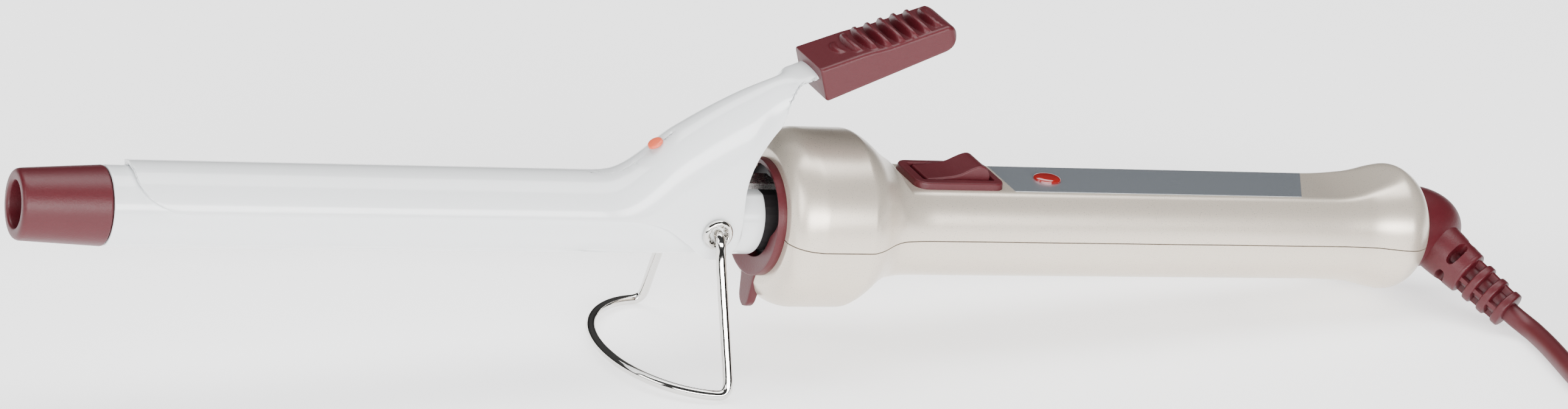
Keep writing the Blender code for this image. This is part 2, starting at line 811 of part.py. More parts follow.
def case_outer():
    """The casing's outline, (x, radius) from the mouth to the rim."""
    return [
        (CASE_FACE, CASE_FACE_R - 0.4 * MM),
        (CASE_FACE + 0.3 * MM, CASE_FACE_R),
        (CASE_FACE + 1.3 * MM, 19.3 * MM),
        (CASE_FACE + 2.8 * MM, 20.9 * MM),
        (CASE_FACE + 4.8 * MM, 21.9 * MM),
        (BULB_FROM, BULB_R),
        (BULB_TO, BULB_R),
        (BULB_TO + 1.6 * MM, BULB_R - 0.5 * MM),
        (BULB_TO + 7.0 * MM, 17.6 * MM),
        (BULB_TO + 10.5 * MM, 15.4 * MM),
        (NECK_AT, HANDLE_R + 0.1 * MM),
        (NECK_AT + 4 * MM, HANDLE_R),
        (FLARE_FROM, HANDLE_R),
        (FLARE_FROM + 7 * MM, HANDLE_R + 0.3 * MM),
        (FLARE_FROM + 14 * MM, HANDLE_R + 1.2 * MM),
        (FLARE_AT - 2 * MM, FLARE_R - 0.1 * MM),
        (FLARE_AT, FLARE_R),
        (FLARE_AT + 2.6 * MM, FLARE_R - 0.8 * MM),
        (FLARE_AT + 4.8 * MM, FLARE_R - 2.4 * MM),
        (RIM_AT, RIM_R),
    ]


def case_inner():
    """The hollow inside the casing, open at both ends."""
    seat_end = RING_END + 2 * GAP + 3 * MM
    wall = CASE_WALL
    return [
        (CASE_FACE - 5 * MM, 0.0),
        (CASE_FACE - 5 * MM, RING_R + GAP),
        (seat_end, RING_R + GAP),
        (seat_end, 10.0 * MM),
        (seat_end + 1.6 * MM, 10.0 * MM),
        (seat_end + 1.6 * MM, BULB_R - wall - 2 * MM),
        (BULB_FROM + 2.5 * MM, BULB_R - wall),
        (BULB_TO, BULB_R - wall),
        (BULB_TO + 7.0 * MM, 17.6 * MM - wall - 0.5 * MM),
        (NECK_AT, HANDLE_R - wall),
        (FLARE_FROM + 8 * MM, HANDLE_R - wall),
        (SWIVEL_FLANGE_FROM - 3.0 * MM, HANDLE_R - wall),
        (SWIVEL_FLANGE_FROM - 3.0 * MM, 9.0 * MM),
        (SWIVEL_FLANGE_FROM - GAP, 9.0 * MM),
        (SWIVEL_FLANGE_FROM - GAP, SWIVEL_FLANGE_R + GAP),
        (SWIVEL_NECK_FROM + GAP, SWIVEL_FLANGE_R + GAP),
        (SWIVEL_NECK_FROM + GAP, DOME_R + GAP),
        (RIM_AT + 5 * MM, DOME_R + GAP),
        (RIM_AT + 5 * MM, 0.0),
    ]


def case_cutters(frame):
    """The tools that both halves share: the hollow and the two flats."""
    hollow = turned("case_hollow_cutter", case_inner(), None, frame)
    low = box(
        "case_inner_flat_cutter",
        (FLAT_TO - FLAT_FROM + 8 * MM, 60 * MM, 20 * MM),
        ((FLAT_TO + FLAT_FROM) / 2, 0.0, FLAT_Z - CASE_WALL + 10 * MM),
        parent=frame,
    )
    cut(hollow, low)
    high = prism(
        "case_flat_cutter",
        [
            (FLAT_FROM, FLAT_Z),
            (FLAT_TO, FLAT_Z),
            (FLAT_TO + 12 * MM, FLAT_Z + 12 * MM),
            (FLAT_FROM - 6 * MM, FLAT_Z + 12 * MM),
        ],
        60 * MM,
        parent=frame,
    )
    high.rotation_euler = (math.pi / 2, 0.0, 0.0)
    return hollow, high


def boss(name, x, low, high, radius, frame):
    return rod(name, radius, high - low, (x, 0.0, (low + high) / 2), (0, 0, 1), parent=frame)


def handle_upper(finish, frame, hollow, flat):
    made = turned("handle_shell_upper", [(CASE_FACE, 0.0), *case_outer(), (RIM_AT, 0.0)], finish, frame)
    cut(made, flat)
    cut(made, hollow)
    for k, x in enumerate(SCREWS_AT):
        top = 14.0 * MM if x < NECK_AT else FLAT_Z - CASE_WALL / 2
        cut(made, boss(f"upper_boss_cutter_{k}", x, 0.5 * MM, top, BOSS_R, frame), "UNION")
        cut(made, boss(f"upper_pilot_cutter_{k}", x, -4 * MM, 6.5 * MM, SCREW_R + GAP, frame))
    keep = box(
        "upper_half_cutter",
        (260 * MM, 60 * MM, 30 * MM),
        (110 * MM, 0.0, GAP / 2 + 15 * MM),
        parent=frame,
    )
    cut(made, keep, "INTERSECT")
    cut(made, plate_prism("plate_recess_cutter", GAP, FLAT_Z - PLATE_SINK, 6 * MM, None, frame))
    cut(made, lamp_oval("lamp_hole_cutter", GAP, 2 * MM, 16 * MM, None, frame))
    opening = box(
        "switch_hole_cutter",
        (skirt_long() + 2 * GAP, skirt_wide() + 2 * GAP, 20 * MM),
        (SWITCH_X, 0.0, 10 * MM),
        parent=frame,
    )
    return smooth(cut(made, opening))


def handle_lower(finish, frame, hollow):
    made = turned("handle_shell_lower", [(CASE_FACE, 0.0), *case_outer(), (RIM_AT, 0.0)], finish, frame)
    cut(made, hollow)
    for k, x in enumerate(SCREWS_AT):
        outer = BULB_R - 9 * MM if x < NECK_AT else HANDLE_R - CASE_WALL / 2
        cut(made, boss(f"lower_boss_cutter_{k}", x, -outer, -0.5 * MM, BOSS_R, frame), "UNION")
        cut(made, boss(f"lower_bore_cutter_{k}", x, -30 * MM, 1 * MM, SCREW_R + GAP, frame))
        cut(made, boss(f"lower_head_cutter_{k}", x, -30 * MM, -7.0 * MM, SCREW_HEAD_R + GAP, frame))
    notch = box(
        "tab_notch_cutter",
        (8 * MM, TAB_WIDTH + 4 * GAP, 20 * MM),
        (tab_x() + TAB_THICK / 2 + GAP - 4 * MM, 0.0, -RING_R - 8.5 * MM),
        parent=frame,
    )
    cut(made, notch)
    keep = box(
        "lower_half_cutter",
        (260 * MM, 60 * MM, 30 * MM),
        (110 * MM, 0.0, -GAP / 2 - 15 * MM),
        parent=frame,
    )
    return smooth(cut(made, keep, "INTERSECT"))


def tab_x():
    return RING_END - TAB_THICK / 2 + 0.6 * MM


def collar_ring(finish, frame):
    soft = 0.5 * MM
    profile = [
        (RING_START, RING_LOW_R),
        (RING_START, RING_R - soft),
        (RING_START + soft, RING_R),
        (RING_END, RING_R),
        (RING_END, RING_LOW_R),
    ]
    made = turned("collar_ring", profile, finish, frame)
    top_r = RING_R - RING_WALL
    opening = prism(
        "ring_opening_cutter",
        arc((0.0, 1.5 * MM), top_r - 1.0 * MM, 0, 180, 24),
        3 * (RING_END - RING_START),
        parent=frame,
    )
    opening.rotation_euler = (math.pi / 2, 0.0, math.pi / 2)
    opening.location = (RING_START, 0.0, 0.0)
    cut(made, opening)
    half, reach = TAB_WIDTH / 2, TAB_REACH
    top = -RING_R + 1.2 * MM
    outline = [(-half, top), (-half * 0.8, -reach + 3 * MM)]
    outline += arc((0.0, -reach + 2.2 * MM), 2.2 * MM, 200, 340, 6)
    outline += [(half * 0.8, -reach + 3 * MM), (half, top)]
    tab = prism("ring_tab_cutter", outline, TAB_THICK, parent=frame)
    tab.rotation_euler = (math.pi / 2, 0.0, math.pi / 2)
    tab.location = (tab_x() - 0.6 * MM, 0.0, 0.0)
    return smooth(cut(made, tab, "UNION"))


def case_screw(name, x, finish, frame):
    head = -7.0 * MM - GAP - 2.2 * MM
    profile = [
        (head, 0.0),
        (head, SCREW_HEAD_R - 0.6 * MM),
        (head + 0.6 * MM, SCREW_HEAD_R),
        (head + 2.2 * MM, SCREW_HEAD_R),
        (head + 2.2 * MM, SCREW_R),
        (4.6 * MM, SCREW_R),
        (6.0 * MM, 0.0),
    ]
    made = turned(name, profile, finish, frame, facets=14)
    made.rotation_euler = (0.0, 0.0, 0.0)
    made.location = (x, 0.0, 0.0)
    slot = box(
        name + "_slot_cutter", (1.0 * MM, 8 * MM, 1.4 * MM), (x, 0.0, head), parent=frame
    )
    return smooth(cut(made, slot))


def plate_prism(name, margin, z, thick, finish, frame):
    """The label plate's outline, with its end cut at a slant."""
    half = PLATE_HALF + margin
    outline = [
        (PLATE_FROM - margin, -half),
        (PLATE_TO_NEAR + margin, -half),
        (PLATE_TO_FAR + margin, half),
        (PLATE_FROM - margin, half),
    ]
    made = prism(name, outline, thick, finish, frame)
    made.location = (0.0, 0.0, z + thick / 2)
    return made


def label_plate(finish, frame):
    made = plate_prism("label_plate", 0.0, FLAT_Z - PLATE_SINK + GAP, PLATE_THICK, finish, frame)
    return cut(made, lamp_oval("plate_hole_cutter", GAP, 5 * MM, 16 * MM, None, frame))


def lamp_oval(name, margin, low, high, finish, frame):
    long, wide = LAMP_HALF_LONG + margin, LAMP_HALF_WIDE + margin
    outline = [
        (long * math.cos(math.radians(a)), wide * math.sin(math.radians(a))) for a in range(0, 360, 15)
    ]
    made = prism(name, outline, high - low, finish, frame)
    made.location = (LAMP_X, 0.0, (low + high) / 2)
    return made


def lamp_lens(finish, frame):
    made = lamp_oval("lamp_lens", 0.0, FLAT_Z - CASE_WALL - 0.6 * MM, FLAT_Z + 1.1 * MM, finish, frame)
    return smooth(bevelled(made, 0.7 * MM, 3), 60)


def indicator_lamp(finish, frame):
    top = FLAT_Z - CASE_WALL - 0.6 * MM - GAP
    profile = [
        (top - 9 * MM, 0.0),
        (top - 9 * MM, 1.9 * MM),
        (top - 8 * MM, 2.2 * MM),
        (top - 2.2 * MM, 2.2 * MM),
        (top - 0.8 * MM, 1.6 * MM),
        (top, 0.0),
    ]
    made = turned("indicator_lamp", profile, finish, frame, facets=20)
    made.rotation_euler = (0.0, 0.0, 0.0)
    made.location = (LAMP_X, 0.0, 0.0)
    return smooth(made)


def lamp_resistor(finish, frame):
    profile = [
        (0.0, 0.0),
        (0.0, 0.3 * MM),
        (4.0 * MM, 0.3 * MM),
        (4.4 * MM, 1.2 * MM),
        (10.0 * MM, 1.2 * MM),
        (10.4 * MM, 0.3 * MM),
        (14.4 * MM, 0.3 * MM),
        (14.4 * MM, 0.0),
    ]
    made = turned("lamp_resistor", profile, finish, frame, facets=16)
    made.location = (LAMP_X + 5 * MM, 3.0 * MM, 2.0 * MM)
    return smooth(made)


# Switch


def skirt_long():
    return ROCKER_LONG + 2 * (ROCKER_ROOM + SKIRT_WALL)


def skirt_wide():
    return ROCKER_WIDE + 2 * (GAP + SKIRT_WALL)


def rounded_rectangle(long, wide, radius, count=4):
    """A rectangle about the origin with round corners."""
    x, y = long / 2 - radius, wide / 2 - radius
    return [
        *arc((x, y), radius, 0, 90, count),
        *arc((-x, y), radius, 90, 180, count),
        *arc((-x, -y), radius, 180, 270, count),
        *arc((x, -y), radius, 270, 360, count),
    ]


def switch_bezel(finish, frame):
    low = FLAT_Z + GAP
    made = prism(
        "switch_bezel", rounded_rectangle(BEZEL_LONG, BEZEL_WIDE, 1.6 * MM), BEZEL_THICK, finish, frame
    )
    made.location = (SWITCH_X, 0.0, low + BEZEL_THICK / 2)
    bevelled(made, 0.5 * MM)
    depth = low + BEZEL_THICK / 2 - SWITCH_FLOOR_Z - GAP
    skirt = box(
        "bezel_skirt_cutter",
        (skirt_long(), skirt_wide(), depth),
        (SWITCH_X, 0.0, low + BEZEL_THICK / 2 - depth / 2),
        parent=frame,
    )
    opening = box(
        "bezel_opening_cutter",
        (skirt_long() - 2 * SKIRT_WALL, skirt_wide() - 2 * SKIRT_WALL, 30 * MM),
        (SWITCH_X, 0.0, low),
        parent=frame,
    )
    return smooth(cut(cut(made, skirt, "UNION"), opening))


def switch_body(finish, frame):
    high = SWITCH_FLOOR_Z
    return box(
        "switch_body",
        (skirt_long() - 1 * MM, skirt_wide() - 1 * MM, 9 * MM),
        (SWITCH_X, 0.0, high - 4.5 * MM),
        finish,
        frame,
        0.4 * MM,
    )


def switch_terminal(name, offset, finish, frame):
    return box(
        name,
        (0.8 * MM, 4.8 * MM, 6.0 * MM),
        (SWITCH_X + offset, 0.0, SWITCH_FLOOR_Z - 9 * MM - GAP - 3 * MM),
        finish,
        frame,
    )


def switch_rocker(finish, pivot):
    """Side view, extruded: low at the front, dished, with a raised rear end."""
    half = ROCKER_LONG / 2
    outline = [
        (-half, 1.1 * MM),
        (-half, -1.6 * MM),
        (-half * 0.6, -2.6 * MM),
        (half * 0.6, -2.6 * MM),
        (half, -1.6 * MM),
        (half, 4.2 * MM),
        (half - 1.0 * MM, 5.1 * MM),
        (half - 3.4 * MM, 5.3 * MM),
        (half - 5.6 * MM, 4.4 * MM),
        (half - 8.6 * MM, 3.0 * MM),
        (half - 12.0 * MM, 2.0 * MM),
        (-half + 2.6 * MM, 1.6 * MM),
    ]
    made = prism("switch_rocker", outline, ROCKER_WIDE, finish, pivot)
    made.rotation_euler = (math.pi / 2, 0.0, 0.0)
    return smooth(bevelled(made, 0.35 * MM), 50)


def lead(name, points, finish, frame, radius=0.9):
    places = smooth_line([Vector(p) * MM for p in points], 5 * MM)
    return smooth(tube(name, places, radius * MM, finish, frame, sides=1), 80)


# Swivel


def swivel_dome(finish, frame):
    half_long = DOME_END - RIM_AT
    count = 9
    curve = []
    for k in range(count + 1):
        t = math.radians(90 * k / count)
        curve.append((RIM_AT + half_long * math.sin(t), DOME_R * math.cos(t)))
    curve[-1] = (DOME_END, 0.0)
    bore = 4.2 * MM
    profile = [
        (RELIEF_FROM + 1.0 * MM, 0.0),
        (RELIEF_FROM + 1.0 * MM, bore),
        (SWIVEL_FLANGE_FROM, bore),
        (SWIVEL_FLANGE_FROM, SWIVEL_FLANGE_R),
        (SWIVEL_NECK_FROM, SWIVEL_FLANGE_R),
        (SWIVEL_NECK_FROM, DOME_R),
        *curve,
    ]
    made = turned("swivel_dome", profile, finish, frame)
    along = relief_direction()
    socket = rod(
        "relief_socket_cutter",
        RELIEF_BODY_R + GAP,
        20 * MM,
        Vector((RELIEF_FROM, 0, 0)) + along * (5.0 * MM - GAP + 10 * MM),
        along,
        parent=frame,
        facets=24,
    )
    return smooth(cut(made, socket))


def strain_relief(finish, frame):
    """Round body, then three rings on a core, joined by four ribs."""
    profile = [
        (5.0 * MM, 0.0),
        (5.0 * MM, RELIEF_BODY_R),
        (9.0 * MM, RELIEF_BODY_R),
        (RELIEF_BODY_END - 0.7 * MM, RELIEF_BODY_END_R),
        (RELIEF_BODY_END, RELIEF_BODY_END_R - 0.6 * MM),
        (RELIEF_BODY_END, RELIEF_CORE_R),
    ]
    soft = 0.6 * MM
    for k, radius in enumerate(RELIEF_RING_R):
        start = RELIEF_END - RELIEF_RING - (len(RELIEF_RING_R) - 1 - k) * RELIEF_PITCH
        profile += [
            (start, RELIEF_CORE_R),
            (start, radius - soft),
            (start + soft, radius),
            (start + RELIEF_RING - soft, radius),
            (start + RELIEF_RING, radius - soft),
            (start + RELIEF_RING, RELIEF_CORE_R),
        ]
    profile[-1] = (RELIEF_END, 0.0)
    made = turned("strain_relief", profile, finish, frame, facets=20)
    along = relief_direction()
    made.location = (RELIEF_FROM, 0.0, 0.0)
    turn = along.to_track_quat("Z", "Y")
    made.rotation_euler = turn.to_euler()
    length = RELIEF_END - RELIEF_BODY_END + 0.6 * MM
    middle = Vector((RELIEF_FROM, 0, 0)) + along * (RELIEF_BODY_END + length / 2 - 1.0 * MM)
    for k in range(2):
        rib = box(
            f"relief_rib_cutter_{k}",
            (1.7 * MM, 2 * (RELIEF_RING_R[-1] - 0.7 * MM), length),
            middle,
            parent=frame,
        )
        rib.rotation_euler = (turn.to_matrix() @ Matrix.Rotation(math.radians(45 + 90 * k), 3, "Z")).to_euler()
        cut(made, rib, "UNION")
    return smooth(made)


# Cord


def iron_to_world(point):
    return Matrix.Rotation(REST_TILT, 4, "Y") @ Vector(point) + PIVOT_AT


def cord_at(past):
    """The cord's centre, this far past the strain relief's end."""
    return iron_to_world(Vector((RELIEF_FROM, 0, 0)) + relief_direction() * (RELIEF_END + past))


def cord_tube(finish):
    route = [cord_at(2 * MM)] + [Vector(p) * MM for p in CORD_ROUTE]
    places = [cord_at(GAP)] + smooth_line(route, 2.2 * CORD_R)
    return smooth(tube("cord_tube", places, CORD_R, finish), 80)


def cord_coil(finish):
    """The outer shape of eight turns: a turned ring."""
    half, soft = COIL_BUNDLE / 2, 2.6 * MM
    profile = []
    for start, x, y in ((180, -1, -1), (90, -1, 1), (0, 1, 1), (-90, 1, -1)):
        centre = (COIL_LIFT + half + x * (half - soft), COIL_MID_R + y * (half - soft))
        first = {180: 270, 90: 180, 0: 90, -90: 0}[start]
        profile += arc(centre, soft, first, first - 90, 1)
    made = turned("cord_coil", profile, finish, facets=28)
    made.rotation_euler = (0.0, 0.0, 0.0)
    made.location = COIL_AT
    return smooth(made)


def coil_tie(finish):
    bow = TIE_WIDTH**2 / (8 * (COIL_MID_R - COIL_BUNDLE / 2))
    wide = COIL_BUNDLE + 2 * (GAP + bow)
    tall = COIL_BUNDLE + 2 * GAP
    middle = COIL_AT + Vector((0.0, COIL_MID_R, COIL_LIFT + COIL_BUNDLE / 2))
    rim = 2 * TIE_THICK
    made = box("coil_tie", (TIE_WIDTH, wide + rim, tall + rim), middle, finish)
    hole = box("tie_hole_cutter", (TIE_WIDTH * 3, wide, tall), middle)
    return cut(made, hole)


def cord_tail(finish):
    route = [Vector(p) * MM for p in TAIL_ROUTE]
    return smooth(tube("cord_tail", smooth_line(route, 2.2 * CORD_R), CORD_R, finish), 80)


def plug_front():
    return -GAP - PLUG_RELIEF - PLUG_LENGTH


def plug_body(finish, frame):
    """Flat two-pin plug with its own short relief, in a frame that has its cord along +X."""
    front = plug_front()
    outline = rounded_rectangle(PLUG_LENGTH, PLUG_WIDTH, 6.0 * MM, 5)
    outline = [(x, y * (1.0 - 0.32 * max(0.0, x / (PLUG_LENGTH / 2)) ** 2)) for x, y in outline]
    made = prism("plug_body", outline, PLUG_THICK, finish, frame)
    made.location = (front + PLUG_LENGTH / 2, 0.0, 0.0)
    bevelled(made, 2.0 * MM, 3)
    relief = rod(
        "plug_relief_cutter",
        5.2 * MM,
        PLUG_RELIEF + 3 * MM,
        (front + PLUG_LENGTH + (PLUG_RELIEF - 3 * MM) / 2, 0.0, 0.0),
        (1, 0, 0),
        parent=frame,
        end_radius=4.0 * MM,
    )
    cut(made, relief, "UNION")
    for side in (-1, 1):
        socket = rod(
            f"plug_socket_cutter_{side}",
            PIN_R + GAP,
            8 * MM,
            (front, side * PIN_HALF_SPREAD, 0.0),
            (1, 0, 0),
            parent=frame,
            facets=20,
        )
        cut(made, socket)
    return smooth(made)


def plug_pin(name, side, finish, frame):
    start, end = plug_front() - PIN_LENGTH, plug_front() + 4 * MM - GAP
    profile = [
        (start, 0.0),
        (start, PIN_R - 0.9 * MM),
        (start + 0.9 * MM, PIN_R),
        (end, PIN_R),
        (end, 0.0),
    ]
    made = turned(name, profile, finish, frame, facets=20)
    made.location = (0.0, side * PIN_HALF_SPREAD, 0.0)
    return smooth(made)


def build_iron(looks, frame):
    tip_cap(looks["burgundy"], frame)
    barrel_tube(looks["white"], frame)
    spreader("heat_spreader_upper", 1, looks["aluminium"], frame)
    spreader("heat_spreader_lower", -1, looks["aluminium"], frame)
    heater(looks["alumina"], frame)
    thermal_fuse(looks["steel"], frame)
    barrel_holder(looks["black"], frame)
    spring_bracket(looks["steel"], frame)
    clamp_spring(looks["steel"], frame)
    eyelet("pivot_eyelet_near", -1, looks["chrome"], frame)
    eyelet("pivot_eyelet_far", 1, looks["chrome"], frame)
    collar_ring(looks["burgundy"], frame)
    hollow, flat = case_cutters(frame)
    handle_upper(looks["champagne"], frame, hollow, flat)
    handle_lower(looks["champagne"], frame, hollow)
    for k, x in enumerate(SCREWS_AT):
        case_screw(("case_screw_front", "case_screw_rear")[k], x, looks["steel"], frame)
    label_plate(looks["plate"], frame)
    lamp_lens(looks["lens"], frame)
    indicator_lamp(looks["glass"], frame)
    lamp_resistor(looks["sleeve"], frame)
    switch_bezel(looks["burgundy"], frame)
    switch_body(looks["black"], frame)
    switch_terminal("switch_terminal_front", -5 * MM, looks["brass"], frame)
    switch_terminal("switch_terminal_rear", 5 * MM, looks["brass"], frame)


def build_leads(looks, frame):
    lead(
        "lead_heater_live",
        [
            (-14.0, 3.0, 0.6),
            (0.0, 3.0, 1.0),
            (20.0, 2.6, 1.0),
            (35.0, 6.0, -1.5),
            (50.0, 8.4, -4.0),
            (62.0, 8.4, -6.0),
        ],
        looks["sleeve"],
        frame,
    )
    lead(
        "lead_heater_neutral",
        [
            (-14.0, -3.0, 0.6),
            (0.0, -3.0, 1.0),
            (20.0, -2.6, 1.0),
            (35.0, -6.0, -1.5),
            (50.0, -8.4, -4.0),
            (90.0, -8.4, -4.0),
            (130.0, -7.0, -2.0),
            (192.0, -1.8, 0.0),
        ],
        looks["sleeve"],
        frame,
    )
    lead(
        "lead_supply_live",
        [(78.0, 6.0, -LEAD_DROP / MM), (100.0, 6.5, -6.0), (140.0, 6.0, -3.0), (192.0, 1.8, 0.0)],
        looks["sleeve"],
        frame,
    )


def build():
    clear_scene()
    IRON["parts"] = new_collection("curling_iron")
    IRON["cutters"] = new_collection("curling_iron_cutters")
    IRON["cutters"].hide_render = True
    looks = finishes()
    frame = empty("iron_frame", None, PIVOT_AT, (0.0, REST_TILT, 0.0))
    clamp_axis = empty("clamp_axis", frame)
    stand_axis = empty("stand_axis", frame)
    rocker_axis = empty("rocker_axis", frame, (SWITCH_X, 0.0, ROCKER_AXIS_Z))
    swivel_axis = empty("swivel_axis", frame)
    build_iron(looks, frame)
    build_leads(looks, frame)
    clamp_shell(looks["white"], clamp_axis)
    thumb_grip(looks["burgundy"], clamp_axis)
    ready_dot(looks["dot"], clamp_axis)
    stand_wire(looks["chrome"], stand_axis)
    switch_rocker(looks["burgundy"], rocker_axis)
    swivel_dome(looks["burgundy"], swivel_axis)
    strain_relief(looks["burgundy"], swivel_axis)
    cord_tube(looks["burgundy"])
    cord_coil(looks["burgundy"])
    coil_tie(looks["tie"])
    cord_tail(looks["burgundy"])
    plug_frame = empty("plug_frame", None, PLUG_AT)
    plug_body(looks["burgundy"], plug_frame)
    plug_pin("plug_pin_left", -1, looks["brass"], plug_frame)
    plug_pin("plug_pin_right", 1, looks["brass"], plug_frame)


build()
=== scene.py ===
# %% [markdown]
# # A curling iron, dressed for its portrait
# The iron's solids come in as a fixed frame: barrel, clamp, handle, switch, swivel and cord. This
# notebook replaces the solids that show with finely curved surfaces, and gives every one of them a
# finish worked out from its own coordinates. Nothing is read from disk but that frame.

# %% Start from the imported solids
import math

import bpy
import numpy as np
from mathutils import Matrix


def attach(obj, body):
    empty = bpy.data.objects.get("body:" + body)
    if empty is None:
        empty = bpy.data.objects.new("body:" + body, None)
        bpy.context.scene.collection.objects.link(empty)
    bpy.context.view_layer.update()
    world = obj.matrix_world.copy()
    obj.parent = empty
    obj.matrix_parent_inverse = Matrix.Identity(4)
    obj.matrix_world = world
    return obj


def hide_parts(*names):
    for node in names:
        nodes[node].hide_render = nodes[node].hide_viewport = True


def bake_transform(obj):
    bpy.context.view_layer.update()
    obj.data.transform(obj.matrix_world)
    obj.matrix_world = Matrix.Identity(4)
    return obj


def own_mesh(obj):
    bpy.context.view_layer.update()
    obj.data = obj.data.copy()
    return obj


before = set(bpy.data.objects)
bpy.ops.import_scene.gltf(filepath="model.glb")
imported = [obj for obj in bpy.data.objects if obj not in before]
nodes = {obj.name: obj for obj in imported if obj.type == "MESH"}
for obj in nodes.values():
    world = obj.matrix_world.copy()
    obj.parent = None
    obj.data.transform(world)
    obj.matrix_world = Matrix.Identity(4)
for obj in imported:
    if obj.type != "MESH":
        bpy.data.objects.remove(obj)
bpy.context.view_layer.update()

# %% [markdown]
# ## Two frames
# The iron leans: its barrel rises five degrees towards the tip, because it stands on a wire foot in
# front and on its cord guard behind. All its round pieces are far easier to describe along the
# barrel, so they are worked out in millimetres in the iron's own frame, whose origin is the clamp's
# pivot, and turned into the room's metres at the end.

# %% From the iron's millimetres to the room's metres
MM = 0.001
LEAN = math.radians(5.0)
PIVOT = np.array([-30.0, 0.0, 37.42])
LEAN_MATRIX = np.array(
    [
        [math.cos(LEAN), 0.0, math.sin(LEAN)],
        [0.0, 1.0, 0.0],
        [-math.sin(LEAN), 0.0, math.cos(LEAN)],
    ]
)


def in_room(points):
    """Room point = (lean matrix times iron point) + pivot, then millimetres to metres."""
    return (np.asarray(points, float) @ LEAN_MATRIX.T + PIVOT) * MM


def metres(points):
    """For points already measured in the room: millimetres to metres."""
    return np.asarray(points, float) * MM


print("the tip of the barrel's axis lies at", in_room([-173.5, 0, 0]).round(4))

# %% [markdown]
# ## Surfaces from grids
# Every new piece is a grid of points, row after row, that numpy works out at once. A grid can close
# on itself round its rows, round its columns or both. What stays open at its ends is closed with a
# fan of triangles. The signed volume tells whether the faces look outwards, and a grid that
# came out inside out has its faces turned round.


# %% Grid to mesh
def grid_faces(rows, cols, wrap_rows=False, wrap_cols=True, first=0):
    """Quad (i, j), (i, j+1), (i+1, j+1), (i+1, j) for every cell of the grid."""
    i = np.arange(rows if wrap_rows else rows - 1)[:, None]
    j = np.arange(cols if wrap_cols else cols - 1)[None, :]
    below, beside = (i + 1) % rows, (j + 1) % cols
    corners = [i * cols + j, i * cols + beside, below * cols + beside, below * cols + j]
    return np.stack(np.broadcast_arrays(*corners), -1).reshape(-1, 4) + first


def signed_volume(verts, quads, tris):
    """Sum of the tetrahedra from the origin to every triangle, positive where faces look outwards."""
    fans = np.concatenate([quads[:, [0, 1, 2]], quads[:, [0, 2, 3]], tris]).reshape(-1, 3)
    a, b, c = verts[fans[:, 0]], verts[fans[:, 1]], verts[fans[:, 2]]
    return float(np.einsum("ij,ij->i", a, np.cross(b, c)).sum() / 6)


def piece(name, verts, quads, tris=None, sharp=32):
    """A smooth-shaded object with its faces turned outwards; edges over `sharp` degrees stay crisp."""
    tris = np.zeros((0, 3), int) if tris is None else tris
    if signed_volume(verts - verts.mean(0), quads, tris) < 0:
        quads, tris = quads[:, ::-1], tris[:, ::-1]
    mesh = bpy.data.meshes.new(name)
    mesh.from_pydata(verts.tolist(), [], quads.tolist() + tris.tolist())
    mesh.shade_smooth()
    mesh.set_sharp_from_angle(angle=math.radians(sharp))
    made = bpy.data.objects.new(name, mesh)
    bpy.context.scene.collection.objects.link(made)
    return made


def rounds(name, grid, sharp=32, place=in_room):
    """Rows of closed loops, with a fan from the middle of the first and the last loop."""
    grid = place(grid)
    rows, cols = grid.shape[:2]
    verts = np.concatenate([grid.reshape(-1, 3), grid[:1].mean(1), grid[-1:].mean(1)])
    j = np.arange(cols)
    after = (j + 1) % cols
    last = (rows - 1) * cols
    start = np.stack([after, j, np.full(cols, rows * cols)], -1)
    end = np.stack([last + j, last + after, np.full(cols, rows * cols + 1)], -1)
    return piece(name, verts, grid_faces(rows, cols), np.concatenate([start, end]), sharp)


def ringed(name, grid, sharp=32, place=in_room):
    """A grid that closes on itself both ways, as a ring does."""
    grid = place(grid)
    rows, cols = grid.shape[:2]
    return piece(name, grid.reshape(-1, 3), grid_faces(rows, cols, wrap_rows=True), sharp=sharp)


def walled(name, outer, inner, sharp=32, place=in_room):
    """Two open sheets of one shape, joined along their four borders into a wall."""
    rows, cols = outer.shape[:2]
    loop = np.concatenate([outer, inner[:, ::-1]], axis=1)
    verts = place(loop).reshape(-1, 3)
    wide = 2 * cols
    j = np.arange(cols - 1)
    ends = []
    for row in (0, rows - 1):
        at = row * wide
        quad = [at + j, at + j + 1, at + wide - 2 - j, at + wide - 1 - j]
        ends.append(np.stack(quad if row == 0 else quad[::-1], -1))
    faces = np.concatenate([grid_faces(rows, wide)[:, ::-1], *ends])
    return piece(name, verts, faces, sharp=sharp)


print("grid tools ready")

# %% [markdown]
# ## Profiles
# A moulded or turned edge is never razor sharp. A profile is drawn as a few straight strokes, and
# each corner is then swapped for a short curve that leaves one stroke and joins the next.


# %% Soft corners and turning
def soft_corners(points, reach, count=6, closed=False):
    """Corner P becomes (1-t)^2 A + 2t(1-t) P + t^2 B, with A and B `reach` away on its strokes."""
    p = np.asarray(points, float)
    reach = np.broadcast_to(np.asarray(reach, float), len(p))[:, None]
    back, on = np.roll(p, 1, 0) - p, np.roll(p, -1, 0) - p
    if not closed:
        back[0], on[-1] = 0, 0
    long_back = np.maximum(np.linalg.norm(back, axis=1, keepdims=True), 1e-9)
    long_on = np.maximum(np.linalg.norm(on, axis=1, keepdims=True), 1e-9)
    a = p + back * np.minimum(reach / long_back, 0.48)
    b = p + on * np.minimum(reach / long_on, 0.48)
    t = np.linspace(0, 1, count)[None, :, None]
    curve = (1 - t) ** 2 * a[:, None] + 2 * t * (1 - t) * p[:, None] + t**2 * b[:, None]
    if closed:
        return curve.reshape(-1, p.shape[1])
    return np.concatenate([p[:1], curve[1:-1].reshape(-1, p.shape[1]), p[-1:]])


